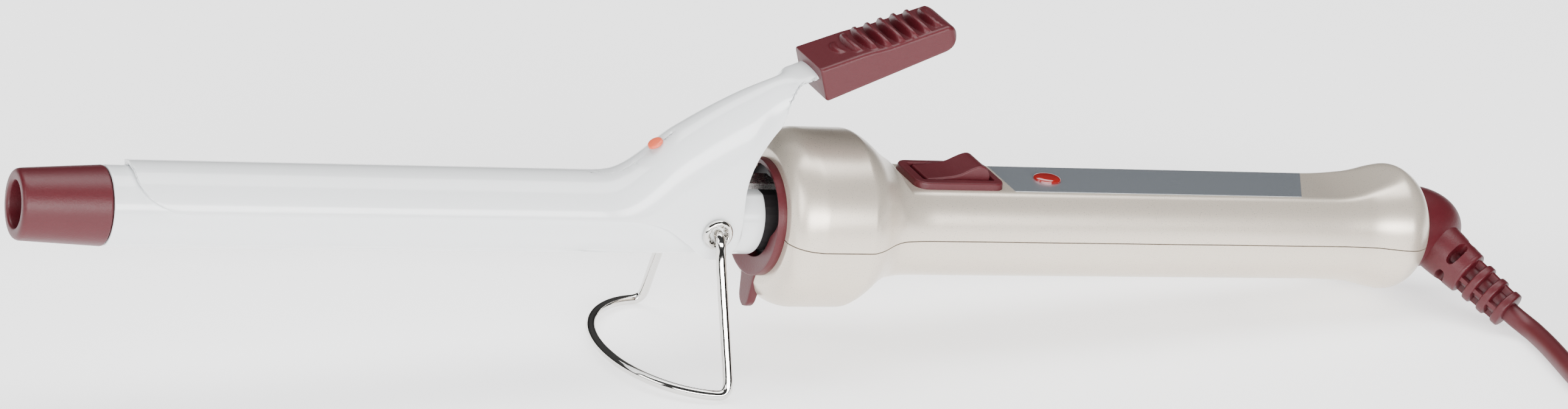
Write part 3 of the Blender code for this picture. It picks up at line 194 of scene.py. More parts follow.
def turn(profile, steps=128):
    """(x, r) swept round the X axis: y = r sin a, z = r cos a."""
    profile = np.asarray(profile, float)
    angle = np.linspace(0, 2 * math.pi, steps, endpoint=False)[None, :]
    x, r = profile[:, :1], profile[:, 1:]
    return np.stack([x + 0 * angle, r * np.sin(angle), r * np.cos(angle)], -1)


def ease(x, start, end):
    """0 before start, 1 after end, t^2 (3 - 2t) between."""
    t = np.clip((np.asarray(x, float) - start) / (end - start), 0, 1)
    return t * t * (3 - 2 * t)


def soft_min(a, b, width):
    """The lower of two heights, with the crease between them rounded over `width`."""
    share = np.clip(0.5 + 0.5 * (b - a) / width, 0, 1)
    return b + (a - b) * share - width * share * (1 - share)


print(len(soft_corners([(0, 0), (1, 0), (1, 1)], 0.3)), "points round one soft corner")

# %% [markdown]
# ## The camera
# The iron is seen from its near side, from a little above and from the tip's end, with a long lens
# that hardly narrows the handle. The camera's own right, up and back directions are set as a matrix,
# which holds its slight roll as well.

# %% Camera
CAMERA_AT = (-0.45293, -0.86433, 0.45647)
RIGHT, UP, BACK = (
    (0.90466, -0.40916, 0.11906),
    (0.06431, 0.40729, 0.91103),
    (-0.42125, -0.81652, 0.39477),
)
camera = bpy.data.objects.new("camera", bpy.data.cameras.new("camera"))
bpy.context.scene.collection.objects.link(camera)
camera.data.sensor_width = 36.0
camera.data.lens = 97.826
camera.data.clip_start, camera.data.clip_end = 0.05, 20.0
turned_to = Matrix([list(row) for row in zip(RIGHT, UP, BACK, strict=True)]).to_4x4()
camera.matrix_world = Matrix.Translation(CAMERA_AT) @ turned_to
bpy.context.scene.camera = camera
print("camera with a", camera.data.lens, "mm lens")

# %% [markdown]
# ## The mains cord
# A swivel cord of 5.5 mm leaves the guard slanting down, touches the table and runs off to one side.
# The length that nobody needs on a shelf, most of its 1.8 m, is wound into a coil of eight turns. Its
# plug lies on top. The whole cord is one line of points with a round section carried along it:
# first the listed stretch, then the winding, whose turns sit in a three by three stack, then
# the tail that climbs back over the coil.

# %% The cord's line
CORD_R = 2.75
RELIEF_FROM, RELIEF_END = 214.5, 34.2
RELIEF_LEAN, RELIEF_TURN = math.radians(62.0), math.radians(66.0)
RELIEF_ALONG = np.array(
    [
        math.cos(RELIEF_LEAN),
        -math.sin(RELIEF_LEAN) * math.sin(RELIEF_TURN),
        -math.sin(RELIEF_LEAN) * math.cos(RELIEF_TURN),
    ]
)
COIL_AT = np.array([239.5, -73.0, 0.0])
COIL_MID_R, COIL_LOW = 31.9, 3.65
CORD_ROUTE = [
    (200.50, -31.75, 3.55),
    (201.10, -34.40, 3.10),
    (201.25, -37.60, 2.95),
    (200.95, -41.60, 2.90),
    (200.10, -47.00, 2.90),
    (198.90, -53.00, 2.90),
    (197.70, -59.00, 2.90),
    (196.90, -64.50, 2.90),
    (196.35, -70.00, 2.90),
]
TAIL_ROUTE = [
    (245.5, -117.6, 3.6),
    (253.0, -118.3, 3.6),
    (261.5, -117.5, 4.2),
    (270.0, -114.3, 6.0),
    (277.5, -108.5, 9.2),
    (283.0, -100.5, 13.4),
    (285.1, -91.5, 17.6),
    (282.9, -83.0, 21.2),
    (277.1, -76.6, 23.6),
    (271.0, -73.9, 24.5),
    (265.9, -73.0, 24.6),
]


def cord_exit(past):
    """The cord's centre this far past the guard's end, in the room's millimetres."""
    at = np.array([RELIEF_FROM, 0, 0]) + RELIEF_ALONG * (RELIEF_END + past)
    return in_room(at) / MM


def winding(first_angle, last_angle, full_turns):
    """Centre + (r cos a, r sin a, z): (r, z) steps to the stack's next place once a turn.

    The last place is listed twice, so the part turn after the eighth stays in it.
    """
    pitch = 2 * CORD_R
    places = [(1, 0), (0, 0), (-1, 0), (-1, 1), (-1, 2), (0, 2), (0, 1), (1, 1), (1, 1)]
    stack = np.array(places, float) * pitch + (COIL_MID_R, COIL_LOW)
    total = last_angle - first_angle + 360 * full_turns
    angle = np.linspace(0, total, int(total / 5))
    turns = angle / 360
    whole = np.minimum(turns.astype(int), len(stack) - 2)
    share = ease(turns - whole, 0.72, 1.0)[:, None]
    r, z = (stack[whole] * (1 - share) + stack[whole + 1] * share).T
    a = np.radians(first_angle + angle)
    return COIL_AT + np.stack([r * np.cos(a), r * np.sin(a), z], -1)


print("the cord starts at", cord_exit(0.3).round(2))


# %% Smooth and even
def through(points, step):
    """Catmull-Rom curve through the points, then re-spaced evenly along its length."""
    p = np.asarray(points, float)
    p = np.concatenate([[2 * p[0] - p[1]], p, [2 * p[-1] - p[-2]]])
    t = np.linspace(0, 1, 12, endpoint=False)[None, :, None]
    a, b, c, d = p[:-3, None], p[1:-2, None], p[2:-1, None], p[3:, None]
    bends = (2 * a - 5 * b + 4 * c - d) * t**2 + (3 * b - a - 3 * c + d) * t**3
    fine = (0.5 * (2 * b + (c - a) * t + bends)).reshape(-1, 3)
    fine = np.concatenate([fine, p[-2:-1]])
    run = np.concatenate([[0], np.cumsum(np.linalg.norm(np.diff(fine, axis=0), axis=1))])
    even = np.linspace(0, run[-1], max(2, round(run[-1] / step)) + 1)
    return np.stack([np.interp(even, run, fine[:, k]) for k in range(3)], -1)


def relaxed(line, rounds_of=12, held=6):
    """Each point moves towards the middle of its neighbours; the first and last few stay."""
    line = line.copy()
    for _ in range(rounds_of):
        before, after = line[held - 1 : -held - 1], line[held + 1 : len(line) - held + 1]
        line[held:-held] = (before + 2 * line[held:-held] + after) / 4
    return line


def carried(line, radius, sides=24, up=(0, 0, 1)):
    """Circle of `radius` in the plane across the line: P + r (cos a side + sin a over)."""
    line = np.asarray(line, float)
    along = np.gradient(line, axis=0)
    along /= np.linalg.norm(along, axis=1, keepdims=True)
    side = np.cross(along, np.broadcast_to(np.asarray(up, float), along.shape))
    side /= np.linalg.norm(side, axis=1, keepdims=True)
    over = np.cross(side, along)
    angle = np.linspace(0, 2 * math.pi, sides, endpoint=False)[None, :, None]
    radius = np.broadcast_to(np.asarray(radius, float), len(line))[:, None, None]
    ring = np.cos(angle) * side[:, None] + np.sin(angle) * over[:, None]
    return line[:, None] + radius * ring


def length_of(line):
    return float(np.linalg.norm(np.diff(line, axis=0), axis=1).sum())


start_angle, end_angle = 214.0, 256.0
coil_line = winding(start_angle, end_angle, 8)
lay_in = [cord_exit(-1.0), cord_exit(0.3), cord_exit(2.0), *CORD_ROUTE]
whole_line = np.concatenate([lay_in, coil_line[2:-2], TAIL_ROUTE])
cord_line = relaxed(through(whole_line, 2.0))
print("cord length", round(length_of(cord_line)), "mm; coil alone", round(length_of(coil_line)), "mm")

# %% [markdown]
# ## Finishes
# Four finishes make the iron: a burgundy plastic with a fine spark-eroded grain, a glossy white
# ceramic coat, a champagne pearl paint full of tiny flakes, and bright metal. Each is a Principled
# shader whose colour, roughness and bump are disturbed by noise in the piece's own coordinates, so
# the grain stays on the piece whatever the view.


# %% One recipe for all finishes
def finish(name, colour, rough, grain=2600.0, depth=0.00003, speckle=0.08, blotch=0.06, rough_swing=0.06):
    """Principled shader: two noises change its colour, and the fine one its roughness and its bump."""
    made = bpy.data.materials.new(name)
    made.use_nodes = True
    tree = made.node_tree
    shader = tree.nodes["Principled BSDF"]
    place = tree.nodes.new("ShaderNodeTexCoord")
    fine, broad = (tree.nodes.new("ShaderNodeTexNoise") for _ in range(2))
    for noise, scale, detail in ((fine, grain, 3.0), (broad, 38.0, 2.0)):
        noise.inputs["Scale"].default_value = scale
        noise.inputs["Detail"].default_value = detail
        tree.links.new(place.outputs["Object"], noise.inputs["Vector"])
    fine_mix, broad_mix = (tree.nodes.new("ShaderNodeMix") for _ in range(2))
    for mix, noise, swing in ((fine_mix, fine, speckle), (broad_mix, broad, blotch)):
        mix.data_type = "RGBA"
        mix.blend_type = "MIX"
        tree.links.new(noise.outputs["Fac"], mix.inputs["Factor"])
        mix.inputs["A"].default_value = (*[c * (1 - swing) for c in colour], 1)
        mix.inputs["B"].default_value = (*[min(1.0, c * (1 + swing)) for c in colour], 1)
    blend = tree.nodes.new("ShaderNodeMix")
    blend.data_type = "RGBA"
    blend.inputs["Factor"].default_value = 0.5
    tree.links.new(fine_mix.outputs["Result"], blend.inputs["A"])
    tree.links.new(broad_mix.outputs["Result"], blend.inputs["B"])
    tree.links.new(blend.outputs["Result"], shader.inputs["Base Color"])
    spread = tree.nodes.new("ShaderNodeMapRange")
    spread.inputs["To Min"].default_value = max(0.02, rough - rough_swing)
    spread.inputs["To Max"].default_value = rough + rough_swing
    tree.links.new(fine.outputs["Fac"], spread.inputs["Value"])
    tree.links.new(spread.outputs["Result"], shader.inputs["Roughness"])
    if depth:
        bump = tree.nodes.new("ShaderNodeBump")
        bump.inputs["Distance"].default_value = depth
        bump.inputs["Strength"].default_value = 1.0
        tree.links.new(fine.outputs["Fac"], bump.inputs["Height"])
        tree.links.new(bump.outputs["Normal"], shader.inputs["Normal"])
    return made


def shader_of(material):
    return material.node_tree.nodes["Principled BSDF"].inputs


print("finish recipe ready")

# %% Burgundy, white and champagne
burgundy = finish("burgundy_plastic", (0.066, 0.0046, 0.0085), 0.44, 2400, 0.00004, 0.22, 0.08)
shader_of(burgundy)["Specular IOR Level"].default_value = 0.40
cord_pvc = finish("cord_pvc", (0.070, 0.0058, 0.0095), 0.46, 3200, 0.00002, 0.10, 0.10)
shader_of(cord_pvc)["Specular IOR Level"].default_value = 0.40
white = finish("white_ceramic_coat", (0.80, 0.82, 0.83), 0.20, 900, 0.0, 0.01, 0.02, 0.02)
shader_of(white)["Coat Weight"].default_value = 0.5
shader_of(white)["Coat Roughness"].default_value = 0.08
champagne = finish("champagne_pearl", (0.66, 0.585, 0.49), 0.30, 4200, 0.00002, 0.14, 0.02, 0.08)
shader_of(champagne)["Metallic"].default_value = 0.55
shader_of(champagne)["Coat Weight"].default_value = 0.35
shader_of(champagne)["Coat Roughness"].default_value = 0.22
print("three big finishes")

# %% Metals, lens and small parts
chrome = finish("bright_chrome", (0.66, 0.645, 0.62), 0.07, 700, 0.0, 0.03, 0.05, 0.03)
shader_of(chrome)["Metallic"].default_value = 1.0
steel = finish("plain_steel", (0.55, 0.54, 0.52), 0.28, 1800, 0.00001, 0.10, 0.08, 0.08)
shader_of(steel)["Metallic"].default_value = 1.0
plate_metal = finish("satin_plate", (0.56, 0.61, 0.67), 0.26, 1500, 0.0, 0.02, 0.02, 0.01)
shader_of(plate_metal)["Metallic"].default_value = 0.85
brass = finish("contact_brass", (0.72, 0.56, 0.30), 0.24, 1500, 0.0, 0.06, 0.10, 0.06)
shader_of(brass)["Metallic"].default_value = 1.0
aluminium = finish("spreader_aluminium", (0.70, 0.70, 0.71), 0.38, 1500, 0.00001, 0.06, 0.06)
shader_of(aluminium)["Metallic"].default_value = 1.0
lens_red = finish("clear_red_lens", (0.36, 0.012, 0.010), 0.10, 300, 0.0, 0.10, 0.20, 0.02)
shader_of(lens_red)["Transmission Weight"].default_value = 0.35
shader_of(lens_red)["Coat Weight"].default_value = 0.8
dot_enamel = finish("heat_dot_enamel", (0.78, 0.13, 0.06), 0.30, 1800, 0.00002, 0.25, 0.10)
alumina = finish("heater_ceramic", (0.82, 0.80, 0.74), 0.60, 2000, 0.00002, 0.05, 0.05)
black = finish("black_plastic", (0.014, 0.012, 0.013), 0.50, 2000, 0.00003, 0.20, 0.10)
glass = finish("lamp_glass", (0.90, 0.50, 0.30), 0.08, 300, 0.0, 0.05, 0.05, 0.02)
shader_of(glass)["Transmission Weight"].default_value = 0.8
sleeve = finish("lead_sleeve", (0.78, 0.76, 0.70), 0.70, 2600, 0.00008, 0.16, 0.06)
tie_band = finish("tie_plastic", (0.020, 0.020, 0.022), 0.46, 2600, 0.00003, 0.15, 0.10)
print("small finishes ready")


# %% Riding and finishes
def belongs(made, look, body, slot, *replaced):
    """Sets a piece's finish, the body it moves with and the solids it replaces; `slot` is not used."""
    made.data.materials.clear()
    made.data.materials.append(look)
    if body:
        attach(made, body)
    if replaced:
        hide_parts(*replaced)
    print(made.name, "-", len(made.data.polygons), "faces, moves with", body)
    return made


kept_looks = {
    "heat_spreader_upper": aluminium,
    "heat_spreader_lower": aluminium,
    "heater_plate": alumina,
    "thermal_fuse": steel,
    "barrel_holder": black,
    "spring_bracket": steel,
    "case_screw_front": steel,
    "case_screw_rear": steel,
    "indicator_lamp": glass,
    "lamp_resistor": sleeve,
    "switch_body": black,
    "switch_terminal_front": brass,
    "switch_terminal_rear": brass,
    "lead_heater_live": sleeve,
    "lead_heater_neutral": sleeve,
    "lead_supply_live": sleeve,
}
for node, look in kept_looks.items():
    nodes[node].data.materials.clear()
    nodes[node].data.materials.append(look)
print(len(kept_looks), "solids inside keep their shape")

# %% [markdown]
# ## Barrel, cap and their edge
# The barrel is a 19 mm tube with a softly turned end. Near the clamp's pivot its top is pressed
# flat, which makes room for the clamp's spring. The cap closes the other end: it tapers to a
# rounded nose with a bore in it, where the hot air escapes.

# %% Barrel
BARREL_R, BARREL_WALL = 9.5, 0.8
BARREL_START, BARREL_END = -152.5, 13.7
BARREL_FLAT_Z, BARREL_FLAT_FROM = 7.9, -4.0
inner_r = BARREL_R - BARREL_WALL
barrel_edge = soft_corners(
    [(BARREL_START, inner_r), (BARREL_START, BARREL_R), (BARREL_END, BARREL_R), (BARREL_END, inner_r)],
    [0.3, 0.5, 0.7, 0.3],
    closed=True,
)
along = np.linspace(BARREL_START + 2, BARREL_END - 2, 48)
outside = np.stack([along, np.full(48, BARREL_R)], -1)
inside = np.stack([along[::-1], np.full(48, inner_r)], -1)
barrel_profile = np.concatenate([barrel_edge[6:12], outside, barrel_edge[12:24], inside, barrel_edge[:6]])
barrel_grid = turn(barrel_profile, 160)
flattened = ease(barrel_grid[..., 0], BARREL_FLAT_FROM - 1.5, BARREL_FLAT_FROM)
wall_inside = (barrel_profile[:, 1] < BARREL_R - 0.5)[:, None]
ceiling = BARREL_FLAT_Z - BARREL_WALL * wall_inside + (1 - flattened) * 4
barrel_grid[..., 2] = soft_min(barrel_grid[..., 2], ceiling, 0.25)
barrel = ringed("barrel_skin", barrel_grid)
belongs(barrel, white, "iron", "white_ceramic_coat", "barrel_tube")

# %% Tip cap
CAP_FRONT, CAP_FRONT_R, CAP_BORE_R = -173.5, 8.3, 5.45
cap_profile = soft_corners(
    [
        (CAP_FRONT + 14.0, 0.05),
        (CAP_FRONT + 14.0, CAP_BORE_R),
        (CAP_FRONT, CAP_BORE_R),
        (CAP_FRONT, CAP_FRONT_R),
        (BARREL_START - 0.3, BARREL_R - 0.05),
        (BARREL_START - 0.3, inner_r - 0.3),
        (BARREL_START + 6.0, inner_r - 0.3),
        (BARREL_START + 6.0, 0.05),
    ],
    [0, 0.3, 0.9, 1.7, 0.5, 0.1, 0.3, 0],
    count=9,
)
cap = rounds("tip_cap_moulding", turn(cap_profile, 128))
belongs(cap, burgundy, "iron", "burgundy_plastic", "tip_cap")

# %% [markdown]
# ## The clamp
# One pressed sheet of metal lies along the barrel as a half tube. Towards the pivot it swells into two
# cheeks, turns up and narrows into the tongue that the thumb grip sits on. Its sections blend
# three Bezier arches into each other, and its edge is a line in the side view. A grid is
# strung between ridge and edge, and the width at each height is read off the section there.

# %% Ridge and sections
SHEET, CLAMP_GAP = 0.8, 0.5
CLAMP_START, CLAMP_EDGE_Z, CLAMP_CORNER = -147.4, 2.4, 14.0
CHEEK_Y, EAR_R, LEVER_TIP, TONGUE_HALF = 10.9, 7.05, 43.0, 5.0
LEVER_SLOPE = math.tan(math.radians(23.0))


def ridge(x):
    """Flat along the barrel, a parabola up to slope 0.72, straight, then eased down to 23 degrees."""
    x = np.asarray(x, float)
    flat, rise = BARREL_R + CLAMP_GAP + SHEET, 0.72
    knee, bend, ease_from, ease_long = -32.0, 10.0, -8.0, 22.0
    run = np.clip(np.minimum(x, ease_from) - knee, 0, None)
    height = flat + np.where(run < bend, rise * run**2 / (2 * bend), rise * (run - bend / 2))
    eased = np.clip(x - ease_from, 0, ease_long)
    height += rise * eased + (LEVER_SLOPE - rise) * eased**2 / (2 * ease_long)
    return height + LEVER_SLOPE * np.clip(x - ease_from - ease_long, 0, None)


def half_width(x):
    """The section's (y, z) at each x: (1-t)^3 P0 + 3t(1-t)^2 P1 + 3t^2(1-t) P2 + t^3 P3."""
    r, low = BARREL_R + CLAMP_GAP + SHEET / 2, math.radians(84)
    k = 4 / 3 * math.tan(low / 4) * r
    top = ridge(x) - SHEET / 2
    one = np.ones_like(x)
    arch = [(0 * x, r * one), (k * one, r * one)]
    arch += [
        ((r * math.sin(low) - k * math.cos(low)) * one, (r * math.cos(low) + k * math.sin(low)) * one),
        (r * math.sin(low) * one, r * math.cos(low) * one),
    ]
    cheek = [(0 * x, top), (6.5 * one, top), (CHEEK_Y * one, top * 0.62), (CHEEK_Y * one, -8.5 * one)]
    tongue = [(0 * x, top), (2 * one, top), (4 * one, top - 0.3), (TONGUE_HALF * one, top - 0.8)]
    swell, narrow = ease(x, -32, -10), ease(x, 5, 18)
    t = np.linspace(0, 1, 81)[None, :]
    weights = ((1 - t) ** 3, 3 * t * (1 - t) ** 2, 3 * t * t * (1 - t), t**3)
    y_curve = z_curve = 0
    for a, b, c, weight in zip(arch, cheek, tongue, weights, strict=True):
        mixed = [(p + (q - p) * swell) for p, q in zip(a, b, strict=True)]
        mixed = [(m + (q - m) * narrow)[:, None] for m, q in zip(mixed, c, strict=True)]
        y_curve, z_curve = y_curve + mixed[0] * weight, z_curve + mixed[1] * weight
    return y_curve, z_curve


print("ridge above the pivot:", round(float(ridge(0.0)), 1), "mm")


# %% Clamp sheet
def evened(points, step):
    """The polyline, re-spaced evenly along its length."""
    run = np.concatenate([[0], np.cumsum(np.linalg.norm(np.diff(points, axis=0), axis=1))])
    even = np.linspace(0, run[-1], round(run[-1] / step) + 1)
    return np.stack([np.interp(even, run, points[:, k]) for k in range(points.shape[1])], -1)


def width_at(x, z):
    """The section's y and the nearest height it reaches, for every point (x, z) of the side view."""
    y_curve, z_curve = half_width(x.ravel())
    z = np.clip(z.ravel(), z_curve[:, -1], z_curve[:, 0])
    right = np.clip((z_curve > z[:, None]).sum(1), 1, z_curve.shape[1] - 1)[:, None]
    z0, z1 = (np.take_along_axis(z_curve, right - k, 1)[:, 0] for k in (1, 0))
    y0, y1 = (np.take_along_axis(y_curve, right - k, 1)[:, 0] for k in (1, 0))
    share = (z0 - z) / np.maximum(z0 - z1, 1e-9)
    return (y0 + (y1 - y0) * share).reshape(x.shape), z.reshape(x.shape)


corner_turn = np.radians(np.linspace(14, 90, 9))
corner_x = CLAMP_START + CLAMP_CORNER * (1 - np.cos(corner_turn))
corner_z = CLAMP_EDGE_Z + 0.62 * CLAMP_CORNER * (1 - np.sin(corner_turn))
ear_turn = np.radians(np.linspace(215, 350, 10))
ear_x, ear_z = EAR_R * np.cos(ear_turn), EAR_R * np.sin(ear_turn)
# (x of the edge, z of the edge, x of the ridge above it)
clamp_edge = [
    *zip(corner_x, corner_z, np.linspace(CLAMP_START, corner_x[-1], 9), strict=True),
    (-29.0, 2.4, -29.0),
    (-19.0, 2.1, -19.5),
    (-13.0, 0.7, -15.0),
    (-9.0, -2.0, -12.0),
    *zip(ear_x, ear_z, np.linspace(-10.0, -1.0, 10), strict=True),
    (6.4, 5.0, 1.0),
    (6.0, 12.0, 4.0),
    (7.6, 17.6, 6.5),
    (10.4, 22.2, 9.5),
    (15.0, 27.5, 14.0),
    (20.0, 34.0, 20.0),
    (LEVER_TIP, 40.0, LEVER_TIP),
]
strung = evened(soft_corners(clamp_edge, 6.0), 1.1)
share = np.linspace(0, 1, 30)[None, :]
string_x = strung[:, 2:] + (strung[:, :1] - strung[:, 2:]) * share
string_z = (ridge(string_x) - SHEET / 2) * (1 - share**2) + strung[:, 1:2] * share**2
string_y, string_z = width_at(string_x, string_z)
half = np.stack([string_x, string_y, string_z], -1)
sheet = np.concatenate([half[:, :0:-1] * (1, -1, 1), half], axis=1)
rows, cols = sheet.shape[:2]
sheet_faces = grid_faces(rows, cols, wrap_cols=False)
clamp = piece("clamp_sheet", in_room(sheet).reshape(-1, 3), sheet_faces, sharp=50)
thick = clamp.modifiers.new("Sheet", "SOLIDIFY")
thick.thickness = SHEET * MM
thick.offset = 0.0
round_off = clamp.modifiers.new("Pressed edge", "BEVEL")
round_off.width = 0.22 * MM
round_off.segments = 2
round_off.limit_method = "ANGLE"
round_off.angle_limit = math.radians(60)
belongs(clamp, white, "clamp", "white_ceramic_coat", "clamp_shell")

# %% [markdown]
# ## Bars with round corners
# The thumb grip, the rocker and the plug are all bars whose height and width change along them. One
# section serves them all: a rectangle with round corners, whose straight sides are split up, so
# that ribs and dishes can be raised on it. Each row has its own half width, top, bottom and
# corner radius.


# %% The section
def corner_section(per_side, per_corner):
    """Point = C (w - r, h - r) + U r: C runs round the square from -1 to 1, U is a unit turn."""
    turns = np.radians(np.linspace(0, 90, per_corner))
    sides = np.linspace(1, -1, per_side + 2)[1:-1]
    centres, units = [], []
    for k, (cy, cz) in enumerate(((1, 1), (-1, 1), (-1, -1), (1, -1))):
        angle = turns + k * math.pi / 2
        centres.append(np.tile([[cy, cz]], (per_corner, 1)))
        units.append(np.stack([np.cos(angle), np.sin(angle)], -1))
        flat, straight = sides[:, None] * 0, sides[:, None]
        along = ((straight, flat + 1), (flat - 1, straight), (-straight, flat - 1), (flat + 1, -straight))[k]
        centres.append(np.concatenate(along, 1))
        facing = (k + 1) * math.pi / 2
        units.append(np.tile([[math.cos(facing), math.sin(facing)]], (per_side, 1)))
    return np.concatenate(centres), np.concatenate(units)


def bar(x, wide, top, bottom, radius, per_side=24, per_corner=6):
    """Rows (x, y, z) with y = Cy (w - r) + Uy r and z = middle + Cz (h - r) + Uz r."""
    centres, units = corner_section(per_side, per_corner)
    x, wide, top, bottom, radius = (
        np.broadcast_to(np.asarray(v, float), len(x))[:, None] for v in (x, wide, top, bottom, radius)
    )
    high, middle = (top - bottom) / 2, (top + bottom) / 2
    radius = np.minimum(radius, 0.98 * np.minimum(high, wide))
    y = centres[:, 0] * (wide - radius) + units[:, 0] * radius
    z = middle + centres[:, 1] * (high - radius) + units[:, 1] * radius
    return np.stack([x + 0 * y, y, z], -1)


def end_round(x, start, end, start_r, end_r):
    """How far a side is drawn in at rounded ends: r - sqrt(r^2 - (r - distance)^2)."""
    from_start = np.clip(start_r - (x - start), 0, start_r)
    from_end = np.clip(end_r - (end - x), 0, end_r)
    pull = start_r - np.sqrt(np.maximum(start_r**2 - from_start**2, 0))
    return pull + end_r - np.sqrt(np.maximum(end_r**2 - from_end**2, 0))


def thick_ends(start, end, start_r, end_r, count):
    """Stations with extra ones packed into the rounded ends."""
    first = start + start_r * (1 - np.cos(np.linspace(0, math.pi / 2, 10)))
    last = end - end_r * (1 - np.cos(np.linspace(math.pi / 2, 0, 14)))
    middle = np.linspace(start + start_r, end - end_r, count)
    return np.unique(np.concatenate([first, middle, last]).round(4))


print(len(corner_section(24, 6)[0]), "points round a bar")

# %% [markdown]
# ### Thumb grip
# A burgundy block sits on the end of the lever. Its top carries a row of fins for the thumb: each is a
# thin crescent, highest in the middle of the grip and running out at both sides. The two nearest the
# barrel are smaller. The fins stand in a shallow scoop.

# %% Grip
GRIP_AT = np.array([22.4, 0.0, 38.2])
GRIP_LONG, GRIP_HALF = 37.6, 8.0
FIN_PITCH = 3.6
a = thick_ends(0.0, GRIP_LONG, 0.9, 4.4, 210)
share = a / GRIP_LONG
pull = end_round(a, 0.0, GRIP_LONG, 0.9, 4.4)
side_pull = end_round(a, 0.0, GRIP_LONG, 0.7, 2.6)
grip_top = 4.6 - 1.0 * share - 0.55 * ease(a, 12, 20) - np.clip(pull - 0.5, 0, None) * 0.8
grip_low = -4.6 + 1.2 * share + 0.9 * pull
grip_rows = bar(a, GRIP_HALF - 0.5 * share - side_pull, grip_top, grip_low, 1.0, per_side=30)
fin_at = GRIP_LONG - 4.6 - FIN_PITCH * np.arange(8)
fin_half = np.array([5.6, 6.6, 6.9, 6.9, 6.8, 6.4, 5.2, 3.1])
fin_high = np.array([1.8, 2.5, 2.7, 2.7, 2.6, 2.4, 1.7, 0.7])
y_grip = grip_rows[..., 1]
is_top = grip_rows[..., 2] > ((grip_top + grip_low) / 2)[:, None]
crown = 0
for at, reach, high in zip(fin_at, fin_half, fin_high, strict=True):
    bow = 0.9 * (1 - np.clip(y_grip / reach, -1, 1) ** 2)
    across = np.sqrt(np.clip(1 - (y_grip / reach) ** 2, 0, 1))
    blade = np.clip(1.3 - np.abs(a[:, None] - at + bow - 0.5) / 0.95, 0, 1)
    crown = np.maximum(crown, high * across * blade * blade * (3 - 2 * blade))
grip_rows[..., 2] += np.where(is_top, crown, 0)
tilt = math.radians(23.0)
lean_up = np.array([[math.cos(tilt), 0, -math.sin(tilt)], [0, 1, 0], [math.sin(tilt), 0, math.cos(tilt)]])
grip = rounds("thumb_grip_finned", grip_rows @ lean_up.T + GRIP_AT, sharp=40)
belongs(grip, burgundy, "clamp", "burgundy_plastic", "thumb_grip")

# %% [markdown]
# ### The heat spot
# A little dot of heat-sensitive enamel on the lever turns colour when the barrel is hot. It is a flat
# drop that follows the slope under it.

# %% Heat spot
spot_x = -15.8
spot_up = np.array([-0.584, 0.0, 0.812])
spot_along = np.array([0.812, 0.0, 0.584])
spot_profile = soft_corners([(-0.25, 0.02), (-0.25, 2.0), (0.45, 1.9), (0.6, 0.02)], [0.1, 0.1, 0.5, 0.1])
spot = turn(spot_profile, 48)
spot_at = np.array([spot_x, 0.0, float(ridge(spot_x))])
axes = np.stack([spot_up, [0, 1, 0], spot_along])
heat_spot = rounds("heat_spot", spot @ axes + spot_at)
belongs(heat_spot, dot_enamel, "clamp", "heat_dot", "ready_dot")

# %% [markdown]
# ## Handle casing
# Two moulded halves meet in a seam at mid-height. Seen from the side the casing is a bulb, a straight
# grip and a small flare; from above, a long flat is cut into the grip for the switch, the lamp and the
# plate. Both halves come from one radius curve. The flat is the lower of that curve and a ceiling,
# and the switch well and the screw holes are dents in the same surface.

# %% The casing's radius and its flat
CASE_FACE, BULB_R, HANDLE_R, CASE_WALL = 16.9, 22.4, 14.2, 2.2
FLAT_Z, FLAT_FROM = 11.1, 53.0
RIM_AT, RIM_R, DOME_R = 209.8, 12.2, 11.2
SWITCH_X, SWITCH_HALF_LONG, SWITCH_HALF_WIDE = 67.8, 9.9, 5.2
SCREWS_AT, SCREW_HOLE_R = (47.0, 160.0), 3.1
SCREW_FLOOR = 8.6
case_line = soft_corners(
    [
        (CASE_FACE, 15.3),
        (CASE_FACE, 16.8),
        (18.1, 19.4),
        (20.6, 21.5),
        (24.0, BULB_R),
        (38.6, BULB_R),
        (42.2, 20.6),
        (46.4, 17.2),
        (50.0, 15.0),
        (56.0, HANDLE_R),
        (183.0, HANDLE_R),
        (193.0, 14.7),
        (199.0, 16.2),
        (204.0, 16.9),
        (208.0, 14.9),
        (RIM_AT, RIM_R + 0.4),
        (RIM_AT + 0.1, DOME_R + 0.3),
    ],
    [0, 0.4, 1.4, 1.6, 1.1, 1.0, 2.4, 2.4, 2.4, 3.0, 6.0, 3.0, 3.0, 2.6, 2.0, 0.5, 0],
    count=9,
)
fine_at = [np.linspace(x - 3.6, x + 3.6, 22) for x in SCREWS_AT]
well_ends = [SWITCH_X + side * SWITCH_HALF_LONG for side in (-1, 1)]
fine_at += [np.linspace(x - 0.5, x + 0.5, 7) for x in well_ends]
fine_at += [np.linspace(46, 56, 26), np.linspace(56, 200, 150)]
case_x = np.unique(np.concatenate([case_line[3:, 0], *fine_at]).round(3))
case_x = case_x[(case_x > 18.0) & (case_x < 209.6)]
keep = np.concatenate([[True], np.diff(case_x) > 0.08])
lip, rim = case_line[case_line[:, 0] <= 18.0], case_line[case_line[:, 0] >= 209.6]
body = np.stack([case_x[keep], np.interp(case_x[keep], *case_line.T)], -1)
case_profile = np.concatenate([lip, body, rim])


def flat_height(x):
    """The flat, rising steeply to the bulb in front and slowly into the flare behind."""
    front = 1.05 * np.clip(FLAT_FROM - x, 0, None) ** 1.25
    return FLAT_Z + front + 0.0095 * np.clip(x - 179.0, 0, None) ** 2


def well(x, y):
    """1 inside the switch opening, 0 outside, with steep sides."""
    beyond = np.maximum(np.abs(x - SWITCH_X) - SWITCH_HALF_LONG, np.abs(y) - SWITCH_HALF_WIDE)
    return 1 - ease(beyond, -0.1, 0.15)


print(len(case_profile), "stations along the casing")


